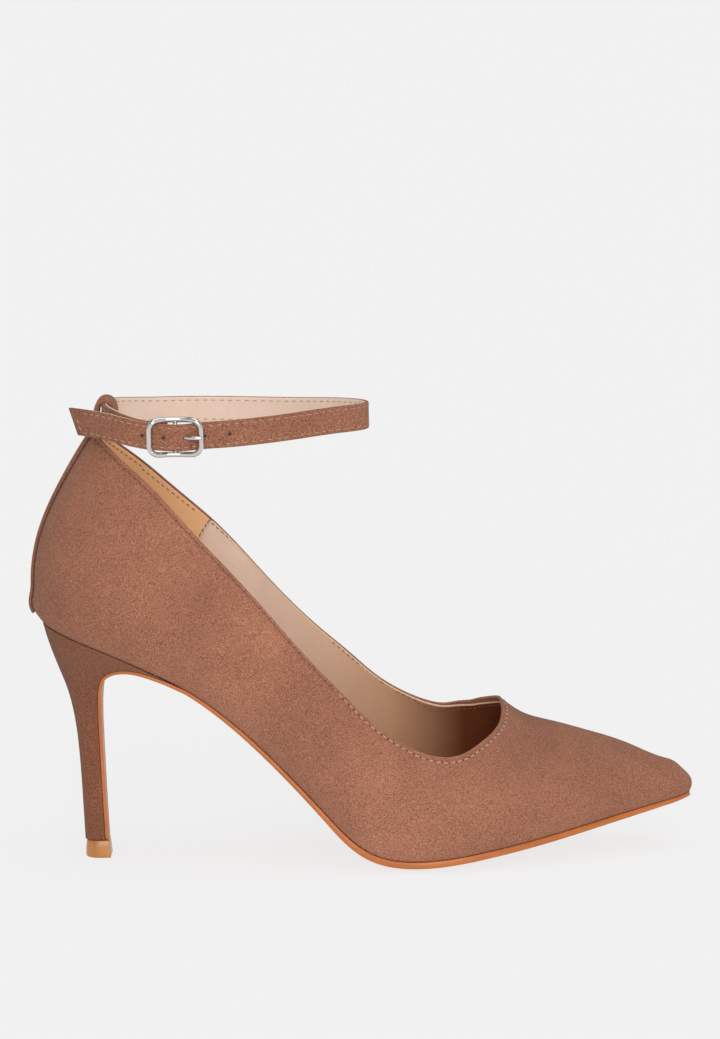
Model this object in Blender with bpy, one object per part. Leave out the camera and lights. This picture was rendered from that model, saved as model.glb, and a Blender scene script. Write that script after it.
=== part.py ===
"""Ankle strap pump: a right shoe, size 37, with a covered stiletto heel and a buckled strap.

Sizes are millimetres until make_object turns them into metres. x runs from the heel to the toe, y
towards the inner (medial) side of the foot and z up, and the shoe stands on z = 0.
"""

import math

import bmesh
import bpy
import numpy as np

MM = 0.001
GAP = 0.3
WALL = 1.8
MIDDLE_X = -0.6

# The last: where its bottom edge, the feather line, starts and ends, and how its ends round.
HEEL_X = -114.0
TOE_X = 116.5
THROAT_X = 50.0
HEEL_ROUND = 26.0
TOE_ROUND = 8.0
TOE_NOSE = 1.4
TOE_NOSE_HEIGHT = 9.0
HEEL_CURVE_LENGTH = 60.0
LOWER_PULL = 0.65

# Side view of the bottom: height of the feather line, how far the middle of the sole drops below
# its edge, and how thick the outsole is.
BOTTOM_COLUMNS = ("x", "height", "crown", "sole")
BOTTOM_ROWS = (
    (-114, 86.2, 0.0, 1.0),
    (-104, 82.6, 0.0, 1.0),
    (-92, 78.2, 0.0, 1.0),
    (-78, 71.7, 0.0, 1.0),
    (-64, 64.4, 0.0, 1.1),
    (-52, 56.2, 0.0, 1.3),
    (-38, 44.3, 0.2, 1.5),
    (-24, 30.8, 0.6, 1.6),
    (-12, 18.6, 1.1, 1.8),
    (-4, 10.9, 1.6, 2.1),
    (4, 6.2, 1.9, 2.3),
    (14, 4.2, 2.0, 2.3),
    (28, 4.6, 2.0, 2.3),
    (45, 6.9, 1.8, 2.2),
    (65, 10.2, 1.3, 2.1),
    (85, 13.9, 0.8, 2.0),
    (102, 17.0, 0.4, 1.7),
    (116.5, 19.8, 0.0, 1.2),
)
# Top view: the last's middle line, its half width at the feather and at its fullest on the lateral
# and medial side, and where the ridge of the instep runs.
PLAN_COLUMNS = ("x", "axis", "foot_lat", "foot_med", "full_lat", "full_med", "ridge_y")
PLAN_ROWS = (
    (-114, 0.0, 22.0, 22.0, 27.0, 27.0, 0.0),
    (-88, 0.0, 22.0, 22.0, 27.5, 27.5, 0.0),
    (-70, 0.0, 20.5, 20.2, 27.0, 26.5, 0.0),
    (-50, 0.0, 19.5, 17.5, 27.5, 26.5, 0.6),
    (-30, 0.0, 22.5, 18.0, 30.0, 28.5, 1.8),
    (-15, 0.1, 28.0, 22.0, 33.5, 31.0, 2.8),
    (0, 0.4, 34.0, 28.5, 37.5, 34.5, 3.6),
    (18, 1.0, 38.5, 34.0, 41.0, 38.0, 4.2),
    (35, 2.0, 38.5, 35.0, 40.8, 38.0, 4.5),
    (55, 3.2, 33.5, 31.5, 36.0, 34.0, 4.8),
    (75, 4.3, 24.5, 23.5, 27.0, 26.0, 5.4),
    (95, 5.3, 14.0, 13.8, 16.5, 16.2, 5.9),
    (108, 5.8, 8.0, 8.0, 10.0, 10.0, 6.0),
    (116.5, 6.0, 5.0, 5.0, 6.5, 6.5, 6.0),
)
# Cross sections: how far each leans forward in degrees, the heights of its fullest point and of its
# ridge, and how square its shoulders are next to each of those points.
SECTION_COLUMNS = ("x", "lean", "full_height", "ridge_height", "square_side", "square_top")
SECTION_ROWS = (
    (-114, 15.0, 20.0, 92.0, 0.50, 0.50),
    (-90, 15.0, 20.0, 98.0, 0.50, 0.50),
    (-65, 13.5, 20.0, 104.0, 0.50, 0.50),
    (-40, 11.0, 19.0, 104.0, 0.48, 0.50),
    (-20, 8.5, 17.0, 100.0, 0.46, 0.48),
    (0, 5.5, 14.0, 91.0, 0.44, 0.46),
    (20, 2.5, 11.5, 76.0, 0.42, 0.42),
    (35, 0.8, 10.0, 61.5, 0.40, 0.40),
    (48, 0.0, 9.3, 48.5, 0.40, 0.40),
    (52, 0.0, 9.2, 44.4, 0.41, 0.41),
    (56, 0.0, 9.0, 41.0, 0.42, 0.42),
    (66, 0.0, 8.4, 35.9, 0.45, 0.45),
    (80, 0.0, 7.3, 29.3, 0.48, 0.48),
    (95, 0.0, 6.0, 21.4, 0.50, 0.50),
    (108, 0.0, 5.0, 13.6, 0.52, 0.52),
    (116.5, 0.0, 4.6, 11.0, 0.55, 0.55),
)
# The heel curve: how far the back seam bulges behind its leaning line, by height up that line.
BACK_COLUMNS = ("height", "behind")
BACK_ROWS = (
    (0, 0.0),
    (2.4, 3.2),
    (9.6, 5.6),
    (15, 6.7),
    (21.4, 7.7),
    (29, 8.0),
    (38, 7.2),
    (51, 4.5),
    (65, 0.5),
    (80, -4.8),
    (95, -10.8),
)
# The foot opening: how far below the ridge its edge lies, as a share of the section's outline from
# ridge to feather, for each root of a millimetre behind the throat.
OPENING_COLUMNS = ("x", "lat", "med")
OPENING_ROWS = (
    (-114, 0.0220, 0.0220),
    (-100, 0.0288, 0.0297),
    (-85, 0.0371, 0.0379),
    (-65, 0.0497, 0.0478),
    (-45, 0.0594, 0.0568),
    (-20, 0.0709, 0.0638),
    (0, 0.0806, 0.0684),
    (18, 0.1030, 0.0840),
    (32, 0.1310, 0.0960),
    (38, 0.1460, 0.0980),
    (42, 0.1570, 0.0955),
    (45, 0.1730, 0.0885),
    (47, 0.1950, 0.0860),
    (48.9, 0.2450, 0.0660),
    (49.6, 0.3200, 0.0400),
    (50.0, 0.3800, 0.0320),
)
# The heel, as slices from the top lift (share 0) to the seat (share 1): where each starts at the
# back and ends at the breast, its half width, its half width at the breast and its back rounding.
HEEL_COLUMNS = ("share", "back_x", "back_z", "front_x", "front_z", "half", "front_half", "round")
HEEL_ROWS = (
    (0.00, -100.6, 6.5, -93.3, 6.5, 5.0, 4.6, 4.6),
    (0.22, -101.3, 24.0, -94.0, 23.5, 5.3, 4.9, 4.8),
    (0.42, -102.1, 39.0, -94.5, 40.0, 5.9, 5.5, 5.2),
    (0.58, -103.6, 52.0, -94.8, 53.5, 7.2, 6.8, 6.3),
    (0.70, -106.0, 62.0, -94.3, 62.0, 9.8, 9.4, 8.6),
    (0.79, -108.6, 69.0, -92.2, 67.2, 13.2, 12.8, 12.0),
    (0.86, -110.8, 75.0, -87.4, 69.8, 16.6, 15.8, 16.0),
    (0.93, -112.6, 80.5, -79.5, 69.9, 19.8, 18.8, 21.0),
    (1.00, -114.0, 85.9, -69.0, 66.5, 22.0, 20.4, 26.0),
)

LIFT_HEIGHT = 6.2
LIFT_COLUMNS = ("height", "back_x", "front_x", "half", "round")
LIFT_ROWS = ((0.0, -100.4, -91.3, 5.5, 5.1), (1.2, -100.5, -91.4, 5.4, 5.0), (6.2, -100.0, -91.9, 4.9, 4.6))

INSOLE_THICKNESS = 1.8
INSOLE_INSET = 2.4

# The back strip, by share of the way from the sole to the collar, then as a loop above it.
STRIP_THICKNESS = 1.0
STRIP_COLUMNS = ("share", "half")
STRIP_ROWS = ((0.0, 2.2), (0.3, 2.6), (0.7, 3.8), (1.0, 5.2))
LOOP_HALF = 5.0
# side view of the loop's middle line, from the collar's outside over the top to its inside
LOOP_ROUTE = (
    (-94.6, 155.6),
    (-93.8, 158.2),
    (-93.3, 161.0),
    (-92.7, 163.6),
    (-91.3, 165.4),
    (-89.6, 165.9),
    (-87.9, 165.4),
    (-86.5, 163.6),
    (-86.0, 160.6),
    (-86.0, 157.0),
    (-86.9, 154.4),
    (-88.8, 153.0),
)

STRAP_WIDTH = 9.6
STRAP_THICKNESS = 2.0
STRAP_SLANT = 2.0
# The strap's middle line: from the buckle's bar back through the loop, round the ankle's inner side
# and front, through the buckle and on to the tip of the tail.
STRAP_ROUTE = (
    (-66.2, -29.2, 156.2),
    (-74.0, -27.3, 156.6),
    (-82.4, -21.0, 158.2),
    (-88.4, -11.4, 159.6),
    (-90.0, 0.0, 160.0),
    (-87.8, 9.6, 159.7),
    (-82.4, 16.6, 158.9),
    (-75.3, 22.0, 158.1),
    (-61.2, 28.4, 157.3),
    (-43.4, 31.0, 156.6),
    (-21.5, 25.0, 156.8),
    (-3.2, 10.0, 158.3),
    (2.8, -1.0, 158.8),
    (1.0, -8.5, 159.0),
    (-6.1, -14.6, 159.0),
    (-23.4, -25.4, 158.2),
    (-40.7, -30.4, 157.0),
    (-48.5, -30.7, 156.5),
    (-53.8, -30.7, 156.2),
    (-58.4, -31.9, 155.9),
    (-63.4, -33.4, 155.9),
    (-68.4, -31.9, 156.0),
    (-73.0, -30.7, 156.3),
    (-80.0, -28.4, 157.4),
    (-88.0, -22.2, 158.6),
    (-99.8, -12.0, 159.2),
)

BUCKLE_X = -63.4
BUCKLE_Z = 155.9
BUCKLE_LENGTH = 20.2
BUCKLE_HEIGHT = 14.2
BUCKLE_CORNER = 3.6
BUCKLE_WIRE = 1.9
BUCKLE_SIDE_Y = -33.35
BUCKLE_BAR_Y = -31.2
PRONG_WIRE = 1.4
PRONG_ROUTE = (
    (-61.6, -31.2, 155.9),
    (-60.8, -32.3, 155.9),
    (-59.7, -33.5, 155.9),
    (-58.3, -34.4, 155.9),
    (-56.4, -35.0, 155.9),
    (-54.1, -35.2, 155.9),
)
PRONG_HOLE = ((-63.9, -29.7, 155.9), (-58.1, -35.1, 155.9))
BAR_WIRE = 1.7

SUEDE = (0.30, 0.165, 0.105)
LEATHER_EDGE = (0.52, 0.19, 0.06)
LIFT_TAN = (0.50, 0.22, 0.08)
LINING = (0.68, 0.50, 0.34)
METAL = (0.80, 0.79, 0.77)


def smooth_curve(xs, ys):
    """A natural cubic curve through the points, as a function of x."""
    xs = np.asarray(xs, float)
    ys = np.asarray(ys, float)
    last = len(xs) - 1
    steps = np.diff(xs)
    slopes = np.diff(ys) / steps
    matrix = np.eye(last + 1)
    right = np.zeros(last + 1)
    for i in range(1, last):
        matrix[i, i - 1] = steps[i - 1]
        matrix[i, i] = 2.0 * (steps[i - 1] + steps[i])
        matrix[i, i + 1] = steps[i]
        right[i] = 6.0 * (slopes[i] - slopes[i - 1])
    bend = np.linalg.solve(matrix, right)

    def value(x):
        x = np.clip(x, xs[0], xs[-1])
        i = np.clip(np.searchsorted(xs, x) - 1, 0, last - 1)
        step = steps[i]
        before = (xs[i + 1] - x) / step
        after = (x - xs[i]) / step
        straight = before * ys[i] + after * ys[i + 1]
        bent = (before**3 - before) * bend[i] + (after**3 - after) * bend[i + 1]
        return straight + bent * step * step / 6.0

    return value


def smooth_table(names, rows):
    columns = np.array(rows, float).T
    return {name: smooth_curve(columns[0], column) for name, column in zip(names[1:], columns[1:])}


def smooth_route(points, count, start=0.0, end=1.0):
    """count points evenly along a smooth line through the given points, between two shares of it."""
    points = np.array(points, float)
    along = np.concatenate([[0.0], np.cumsum(np.linalg.norm(np.diff(points, axis=0), axis=1))])
    places = np.linspace(start, end, count) * along[-1]
    return np.stack([smooth_curve(along, column)(places) for column in points.T], axis=1)


BOTTOM = smooth_table(BOTTOM_COLUMNS, BOTTOM_ROWS)
PLAN = smooth_table(PLAN_COLUMNS, PLAN_ROWS)
SECTION = smooth_table(SECTION_COLUMNS, SECTION_ROWS)
BACK = smooth_table(BACK_COLUMNS, BACK_ROWS)
OPENING = smooth_table(OPENING_COLUMNS, OPENING_ROWS)
HEEL = smooth_table(HEEL_COLUMNS, HEEL_ROWS)
LIFT = smooth_table(LIFT_COLUMNS, LIFT_ROWS)
STRIP = smooth_table(STRIP_COLUMNS, STRIP_ROWS)


def round_end(distance, radius):
    """0 at an end of the shoe, rising like a circle's edge to 1 at one radius from it."""
    share = np.clip(distance / radius, 0.0, 1.0)
    return np.sqrt(1.0 - (1.0 - share) ** 2)


def bezier(start, pull_start, pull_end, end, shares):
    shares = np.asarray(shares, float)[:, None]
    rest = 1.0 - shares
    curve = rest**3 * np.array(start, float)
    curve = curve + 3.0 * rest**2 * shares * np.array(pull_start, float)
    curve = curve + 3.0 * rest * shares**2 * np.array(pull_end, float)
    return curve + shares**3 * np.array(end, float)


def section_curve(x, side):
    """Half a cross section of the last at x, as (distance out, height up) from feather to ridge."""
    name = "lat" if side < 0 else "med"
    foot = float(PLAN["foot_" + name](x))
    full = float(PLAN["full_" + name](x))
    full_height = float(SECTION["full_height"](x))
    ridge_height = float(SECTION["ridge_height"](x))
    ridge = side * float(PLAN["ridge_y"](x) - PLAN["axis"](x))
    rise = (ridge_height - full_height) * float(SECTION["square_side"](x))
    reach = (full - ridge) * float(SECTION["square_top"](x))
    steps = np.linspace(0.0, 1.0, 25)
    low = bezier(
        (foot, 0.0),
        (foot + LOWER_PULL * (full - foot), 0.22 * full_height),
        (full, 0.55 * full_height),
        (full, full_height),
        steps,
    )
    high = bezier(
        (full, full_height),
        (full, full_height + rise),
        (ridge + reach, ridge_height),
        (ridge, ridge_height),
        steps[1:],
    )
    return np.concatenate([low, high])


def upper_points(x, side, shares):
    """Points of the upper's outside in the section at x, at these shares from feather to ridge."""
    curve = section_curve(x, side)
    toe = float(round_end(TOE_X - x, TOE_ROUND))
    heel = float(round_end(x - HEEL_X, HEEL_ROUND))
    along = np.concatenate([[0.0], np.cumsum(np.hypot(*np.diff(curve, axis=0).T))])
    out = np.interp(shares, along / along[-1], curve[:, 0]) * toe * heel
    height = np.interp(shares, along / along[-1], curve[:, 1]) * toe
    lean = math.radians(float(SECTION["lean"](x)))
    heel_fade = max(0.0, 1.0 - (x - HEEL_X) / HEEL_CURVE_LENGTH) ** 2
    toe_fade = max(0.0, 1.0 - (TOE_X - x) / (2.0 * TOE_ROUND)) ** 2
    behind = BACK["behind"](height) * heel_fade
    nose = TOE_NOSE * toe_fade * np.sin(math.pi * np.clip(height / TOE_NOSE_HEIGHT, 0.0, 1.0))
    px = x + height * math.sin(lean) - behind * math.cos(lean) + nose
    py = float(PLAN["axis"](x)) + side * out
    pz = float(BOTTOM["height"](x)) + height * math.cos(lean) + behind * math.sin(lean)
    return np.stack([px, py, pz], axis=1)


def collar_share(x, side):
    """How far up the section at x the upper reaches: its whole outline in front of the throat."""
    if x >= THROAT_X:
        return 1.0
    name = "lat" if side < 0 else "med"
    return 1.0 - float(OPENING[name](x)) * math.sqrt(THROAT_X - x)


def upper_stations():
    """Where the upper's sections stand, from the back seam to the tip of the toe."""
    quarter = math.pi / 2.0
    heel = [HEEL_X + HEEL_ROUND * (1.0 - math.cos(quarter * i / 8.0)) for i in range(9)]
    waist_end = THROAT_X - 26.6
    waist = np.linspace(heel[-1], waist_end, 14)[1:]
    throat = [THROAT_X - 26.6 * (1.0 - i / 8.0) ** 2 for i in range(1, 9)]
    vamp = np.linspace(THROAT_X, TOE_X - TOE_ROUND, 9)[1:]
    toe = [TOE_X - TOE_ROUND * (1.0 - math.sin(quarter * i / 5.0)) for i in range(1, 6)]
    return [*heel, *waist, *throat, *vamp, *toe]


def sheet(grid):
    """A bmesh of quads over a grid of points, with points that coincide welded into one."""
    bm = bmesh.new()
    verts = [[bm.verts.new(point) for point in row] for row in grid]
    for row, next_row in zip(verts, verts[1:]):
        for a, b, c, d in zip(row, row[1:], next_row[1:], next_row):
            bm.faces.new((a, b, c, d))
    bmesh.ops.remove_doubles(bm, verts=bm.verts, dist=0.001)
    bm.normal_update()
    return bm


def add_second_skin(bm, moves):
    """Copies the open sheet in bm, each vertex moved by moves[vertex], and joins the open edges."""
    open_edges = [edge for edge in bm.edges if edge.is_boundary]
    faces = list(bm.faces)
    twins = {vert: bm.verts.new(vert.co + moves[vert]) for vert in list(bm.verts)}
    for face in faces:
        bm.faces.new([twins[vert] for vert in reversed(face.verts)])
    for edge in open_edges:
        a, b = edge.verts
        bm.faces.new((a, b, twins[b], twins[a]))
    bmesh.ops.recalc_face_normals(bm, faces=bm.faces)


def slab(front, back):
    """A closed solid between two grids of points that have the same rows and columns."""
    front = np.asarray(front, float)
    back = np.asarray(back, float)
    rows, columns, _ = front.shape
    bm = bmesh.new()
    skins = [[[bm.verts.new(point) for point in row] for row in grid] for grid in (front, back)]
    for skin in skins:
        for i in range(rows - 1):
            for j in range(columns - 1):
                bm.faces.new((skin[i][j], skin[i][j + 1], skin[i + 1][j + 1], skin[i + 1][j]))
    border = [(0, j) for j in range(columns)] + [(i, columns - 1) for i in range(1, rows)]
    border += [(rows - 1, j) for j in range(columns - 2, -1, -1)] + [(i, 0) for i in range(rows - 2, 0, -1)]
    for (i, j), (k, m) in zip(border, border[1:] + border[:1]):
        bm.faces.new((skins[0][i][j], skins[0][k][m], skins[1][k][m], skins[1][i][j]))
    bmesh.ops.recalc_face_normals(bm, faces=bm.faces)
    return bm


def loft(rings, closed=False):
    """A solid through rings of points; closed joins the last ring to the first, as in a frame."""
    bm = bmesh.new()
    verts = [[bm.verts.new(point) for point in ring] for ring in rings]
    pairs = list(zip(verts, verts[1:]))
    if closed:
        pairs.append((verts[-1], verts[0]))
    for ring, next_ring in pairs:
        for j in range(len(ring)):
            k = (j + 1) % len(ring)
            bm.faces.new((ring[j], ring[k], next_ring[k], next_ring[j]))
    if not closed:
        bm.faces.new(verts[0])
        bm.faces.new(verts[-1])
    bmesh.ops.recalc_face_normals(bm, faces=bm.faces)
    return bm


def directions(points, closed=False):
    """Unit directions along a line of points."""
    points = np.asarray(points, float)
    if closed:
        along = np.roll(points, -1, axis=0) - np.roll(points, 1, axis=0)
    else:
        along = np.gradient(points, axis=0)
    return along / np.linalg.norm(along, axis=1, keepdims=True)


def wire(points, diameter, sides, closed=False):
    """A round wire along a line of points that never runs straight along y."""
    points = np.asarray(points, float)
    rings = []
    for point, along in zip(points, directions(points, closed)):
        across = np.cross(along, (0.0, 1.0, 0.0))
        across = across / np.linalg.norm(across)
        out = np.cross(along, across)
        turns = [2.0 * math.pi * k / sides for k in range(sides)]
        ring = [point + 0.5 * diameter * (math.cos(t) * across + math.sin(t) * out) for t in turns]
        rings.append(ring)
    return loft(rings, closed)


def new_material(name, colour, roughness, metallic=0.0):
    material = bpy.data.materials.new(name)
    material.use_nodes = True
    shader = material.node_tree.nodes["Principled BSDF"]
    shader.inputs["Base Color"].default_value = (*colour, 1.0)
    shader.inputs["Roughness"].default_value = roughness
    shader.inputs["Metallic"].default_value = metallic
    return material


def make_object(name, bm, material):
    """Places the solid in the scene, in metres, with the middle of the shoe at the origin."""
    for vert in bm.verts:
        vert.co.x -= MIDDLE_X
        vert.co *= MM
    mesh = bpy.data.meshes.new(name)
    bm.to_mesh(mesh)
    bm.free()
    mesh.materials.append(material)
    obj = bpy.data.objects.new(name, mesh)
    bpy.context.scene.collection.objects.link(obj)
    return obj


def add_boolean(obj, other, operation):
    other.hide_render = True
    other.display_type = "WIRE"
    boolean = obj.modifiers.new(other.name, "BOOLEAN")
    boolean.operation = operation
    boolean.object = other
    boolean.solver = "EXACT"


def build_upper():
    rows = 14
    stations = upper_stations()
    columns = [(x, -1) for x in reversed(stations)] + [(x, 1) for x in stations[1:]]
    grid = []
    for x, side in columns:
        shares = np.linspace(0.0, 1.0, rows) * collar_share(x, side)
        grid.append(upper_points(x, side, shares))
    bm = sheet(grid)
    moves = {vert: vert.normal * -WALL for vert in bm.verts}
    add_second_skin(bm, moves)
    return bm


def sole_stations():
    """Rows of (x, z, lateral half, medial half, crown, thickness) along the sole, toe to heel tip."""
    quarter = math.pi / 2.0
    toe = [TOE_X - TOE_ROUND * (1.0 - math.sin(quarter * i / 5.0)) for i in range(4, -1, -1)]
    plate = np.linspace(TOE_X - TOE_ROUND, -62.0, 31)[1:]
    stations = []
    for x in [*toe, *plate]:
        end = float(round_end(TOE_X - x, TOE_ROUND))
        lateral = (float(PLAN["foot_lat"](x)) + 0.3) * end
        medial = (float(PLAN["foot_med"](x)) + 0.3) * end
        values = [float(BOTTOM[name](x)) for name in ("height", "crown", "sole")]
        stations.append((x, values[0], lateral, medial, values[1], values[2]))
    for share in 1.0 - np.linspace(0.0, 1.0, 18) ** 1.3:
        half = float(HEEL["front_half"](share))
        stations.append((float(HEEL["front_x"](share)), float(HEEL["front_z"](share)), half, half, 0.0, 1.0))
    return stations


def build_outsole():
    stations = np.array(sole_stations())
    along = np.gradient(stations[:, :2], axis=0)
    along /= np.linalg.norm(along, axis=1, keepdims=True)
    along[-1] = (0.0, -1.0)
    top = []
    bottom = []
    for (x, z, lateral, medial, crown, thickness), (tx, tz) in zip(stations, along):
        up = np.array((tz, 0.0, -tx))
        axis = float(PLAN["axis"](x))
        top_row = []
        bottom_row = []
        for share in np.linspace(-1.0, 1.0, 11):
            half = lateral if share < 0.0 else medial
            level = GAP + crown * (1.0 - share * share)
            place = np.array((x, axis + share * half, z))
            under = place - (level + thickness) * up
            under[2] = max(under[2], 0.0)
            top_row.append(place - level * up)
            bottom_row.append(under)
        top.append(top_row)
        bottom.append(bottom_row)
    return slab(top, bottom)


def slice_points(back, front, half, front_half, rounding, steps):
    """The lateral edge of a flat slice from its back point to its front, as (x, distance out, z)."""
    back = np.array(back, float)
    front = np.array(front, float)
    length = float(np.linalg.norm(front - back))
    rounding = min(rounding, length)
    turns = np.linspace(0.0, math.pi / 2.0, steps)
    distances = [rounding * (1.0 - math.cos(turn)) for turn in turns]
    distances += list(np.linspace(rounding, length, steps // 2 + 1)[1:])
    points = []
    for distance in distances:
        share = distance / length
        out = (half + (front_half - half) * share) * float(round_end(distance, rounding))
        x, z = back + (front - back) * share
        points.append((x, out, z))
    return points


def ring_of(points):
    """A whole ring from a slice's edge points: the back, the lateral side, then the medial side."""
    lateral = [(x, -out, z) for x, out, z in points]
    medial = [(x, out, z) for x, out, z in points[:0:-1]]
    return lateral + medial


def heel_rings():
    """Rings round the heel from the top lift up to the seat, which follows the upper's bottom."""
    seat_back = float(HEEL["back_x"](1.0))
    seat_front = float(HEEL["front_x"](1.0))
    seat_ends = BOTTOM["height"](np.array((seat_back, seat_front)))
    rings = []
    for share in 1.0 - (1.0 - np.linspace(0.0, 1.0, 20)) ** 1.25:
        value = {name: float(curve(share)) for name, curve in HEEL.items()}
        back = (value["back_x"], value["back_z"])
        front = (value["front_x"], value["front_z"])
        points = []
        for x, out, z in slice_points(back, front, value["half"], value["front_half"], value["round"], 9):
            # the seat's curve above its chord fades out in the slices below it
            along = (x - back[0]) / (front[0] - back[0])
            seat = float(BOTTOM["height"](seat_back + (seat_front - seat_back) * along))
            curve = seat - (seat_ends[0] + (seat_ends[1] - seat_ends[0]) * along)
            points.append((x, out, z + curve * share**8))
        rings.append(ring_of(points))
    return rings


def build_heel():
    bm = bmesh.new()
    verts = [[bm.verts.new(point) for point in ring] for ring in heel_rings()]
    count = len(verts[0])
    for ring, next_ring in zip(verts, verts[1:]):
        for j in range(count):
            k = (j + 1) % count
            bm.faces.new((ring[j], ring[k], next_ring[k], next_ring[j]))
    # strips from the lateral to the medial edge close each end
    for ring in (verts[0], verts[-1]):
        bm.faces.new((ring[0], ring[1], ring[-1]))
        for j in range(1, count // 2):
            bm.faces.new((ring[j], ring[j + 1], ring[-1 - j], ring[-j]))
    bmesh.ops.recalc_face_normals(bm, faces=bm.faces)
    return bm


def build_lift():
    rings = []
    for height in (0.0, 1.2, 3.7, LIFT_HEIGHT):
        value = {name: float(curve(height)) for name, curve in LIFT.items()}
        back = (value["back_x"], height)
        front = (value["front_x"], height)
        rings.append(ring_of(slice_points(back, front, value["half"], value["half"], value["round"], 9)))
    return loft(rings)


def build_insole():
    quarter = math.pi / 2.0
    heel_round = HEEL_ROUND - INSOLE_INSET
    toe_round = TOE_ROUND - INSOLE_INSET
    start = HEEL_X + INSOLE_INSET
    end = TOE_X - INSOLE_INSET
    heel = [start + heel_round * (1.0 - math.cos(quarter * i / 6.0)) for i in range(1, 7)]
    toe = [end - toe_round * (1.0 - math.sin(quarter * i / 4.0)) for i in range(0, 4)]
    stations = [*heel, *np.linspace(heel[-1], toe[0], 34)[1:-1], *toe]
    top = []
    bottom = []
    for x in stations:
        ends = float(round_end(x - start, heel_round) * round_end(end - x, toe_round))
        lateral = (float(PLAN["foot_lat"](x)) - INSOLE_INSET) * ends
        medial = (float(PLAN["foot_med"](x)) - INSOLE_INSET) * ends
        row = []
        for share in np.linspace(-1.0, 1.0, 9):
            half = lateral if share < 0.0 else medial
            drop = float(BOTTOM["crown"](x)) * (1.0 - share * share)
            level = float(BOTTOM["height"](x)) - drop
            row.append(np.array((x, float(PLAN["axis"](x)) + share * half, level)))
        bottom.append(row)
        top.append([point + (0.0, 0.0, INSOLE_THICKNESS) for point in row])
    return slab(top, bottom)


def back_rows(shares, columns):
    """Points of the upper's outside near the back seam and the outward directions there."""
    points = []
    for share in shares:
        row = []
        for column in columns:
            out = float(STRIP["half"](share)) * column
            turn = math.asin(abs(out) / HEEL_ROUND)
            x = HEEL_X + HEEL_ROUND * (1.0 - math.cos(turn))
            side = -1 if out < 0.0 else 1
            row.append(upper_points(x, side, [share * collar_share(HEEL_X, side)])[0])
        points.append(row)
    points = np.array(points)
    outward = np.cross(np.gradient(points, axis=0), np.gradient(points, axis=1))
    outward /= np.linalg.norm(outward, axis=2, keepdims=True)
    if outward[len(shares) // 2, len(columns) // 2, 0] > 0.0:
        outward = -outward
    return points, outward


def build_back_strip():
    columns = np.linspace(-1.0, 1.0, 7)
    points, outward = back_rows(np.linspace(0.04, 0.985, 25), columns)
    inside = list(points + outward * GAP)
    outside = list(points + outward * (GAP + STRIP_THICKNESS))
    route = np.array([(x, 0.0, z) for x, z in LOOP_ROUTE])
    along = directions(route)
    for (x, _, z), direction in zip(route, along):
        out = np.array((-direction[2], 0.0, direction[0])) * 0.5 * STRIP_THICKNESS
        row = np.array([(x, LOOP_HALF * column, z) for column in columns])
        inside.append(row - out)
        outside.append(row + out)
    points, outward = back_rows(np.linspace(0.985, 0.89, 3), columns)
    lining = points - outward * WALL
    inside += list(lining - outward * GAP)
    outside += list(lining - outward * (GAP + STRIP_THICKNESS))
    return slab(outside, inside)


def strap_rings(route):
    rings = []
    for point, along in zip(route, directions(route)):
        out = np.cross(along, (0.0, 0.0, 1.0))
        out /= np.linalg.norm(out)
        across = np.array((0.0, 0.0, 0.5 * STRAP_WIDTH))
        thick = out * 0.5 * STRAP_THICKNESS
        low = point - across
        high = point + across
        rings.append([low - thick, low + thick, high + thick, high - thick])
    return rings


def build_strap():
    route = smooth_route(STRAP_ROUTE, 110)
    rings = strap_rings(route)
    slant = (route[-1] - route[-2]) / np.linalg.norm(route[-1] - route[-2]) * STRAP_SLANT
    rings[-1] = [corner + (slant if corner[2] > route[-1][2] else -slant) for corner in rings[-1]]
    return loft(rings)


def rounded_rectangle(length, height, corner, steps):
    """Points round a rectangle with round corners, about its middle."""
    points = []
    for quarter, (sx, sz) in enumerate(((1, 1), (-1, 1), (-1, -1), (1, -1))):
        cx = sx * (0.5 * length - corner)
        cz = sz * (0.5 * height - corner)
        for step in range(steps + 1):
            turn = (quarter + step / steps) * math.pi / 2.0
            points.append((cx + corner * math.cos(turn), cz + corner * math.sin(turn)))
    return points


def build_buckle_frame():
    half = 0.5 * (BUCKLE_LENGTH - BUCKLE_WIRE)
    outline = rounded_rectangle(2.0 * half, BUCKLE_HEIGHT - BUCKLE_WIRE, BUCKLE_CORNER, 5)
    route = []
    for (x, z), (next_x, next_z) in zip(outline, outline[1:] + outline[:1]):
        pieces = 4 if max(abs(next_x - x), abs(next_z - z)) > 3.0 else 1
        for k in range(pieces):
            px = x + (next_x - x) * k / pieces
            pz = z + (next_z - z) * k / pieces
            # the rails sink towards the middle bar, and the two ends stand out over the strap
            bow = min(1.0, abs(px) / (half - 1.5)) ** 2
            py = BUCKLE_BAR_Y + (BUCKLE_SIDE_Y - BUCKLE_BAR_Y) * bow
            route.append((BUCKLE_X + px, py, BUCKLE_Z + pz))
    return wire(route, BUCKLE_WIRE, 8, closed=True)


def upright_rod(x, y, bottom, top, diameter, sides):
    rings = []
    for z in (bottom, top):
        turns = [2.0 * math.pi * k / sides for k in range(sides)]
        rings.append([(x + 0.5 * diameter * math.cos(t), y + 0.5 * diameter * math.sin(t), z) for t in turns])
    return loft(rings)


def remove_startup_objects():
    for obj in list(bpy.data.objects):
        bpy.data.objects.remove(obj)


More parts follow.
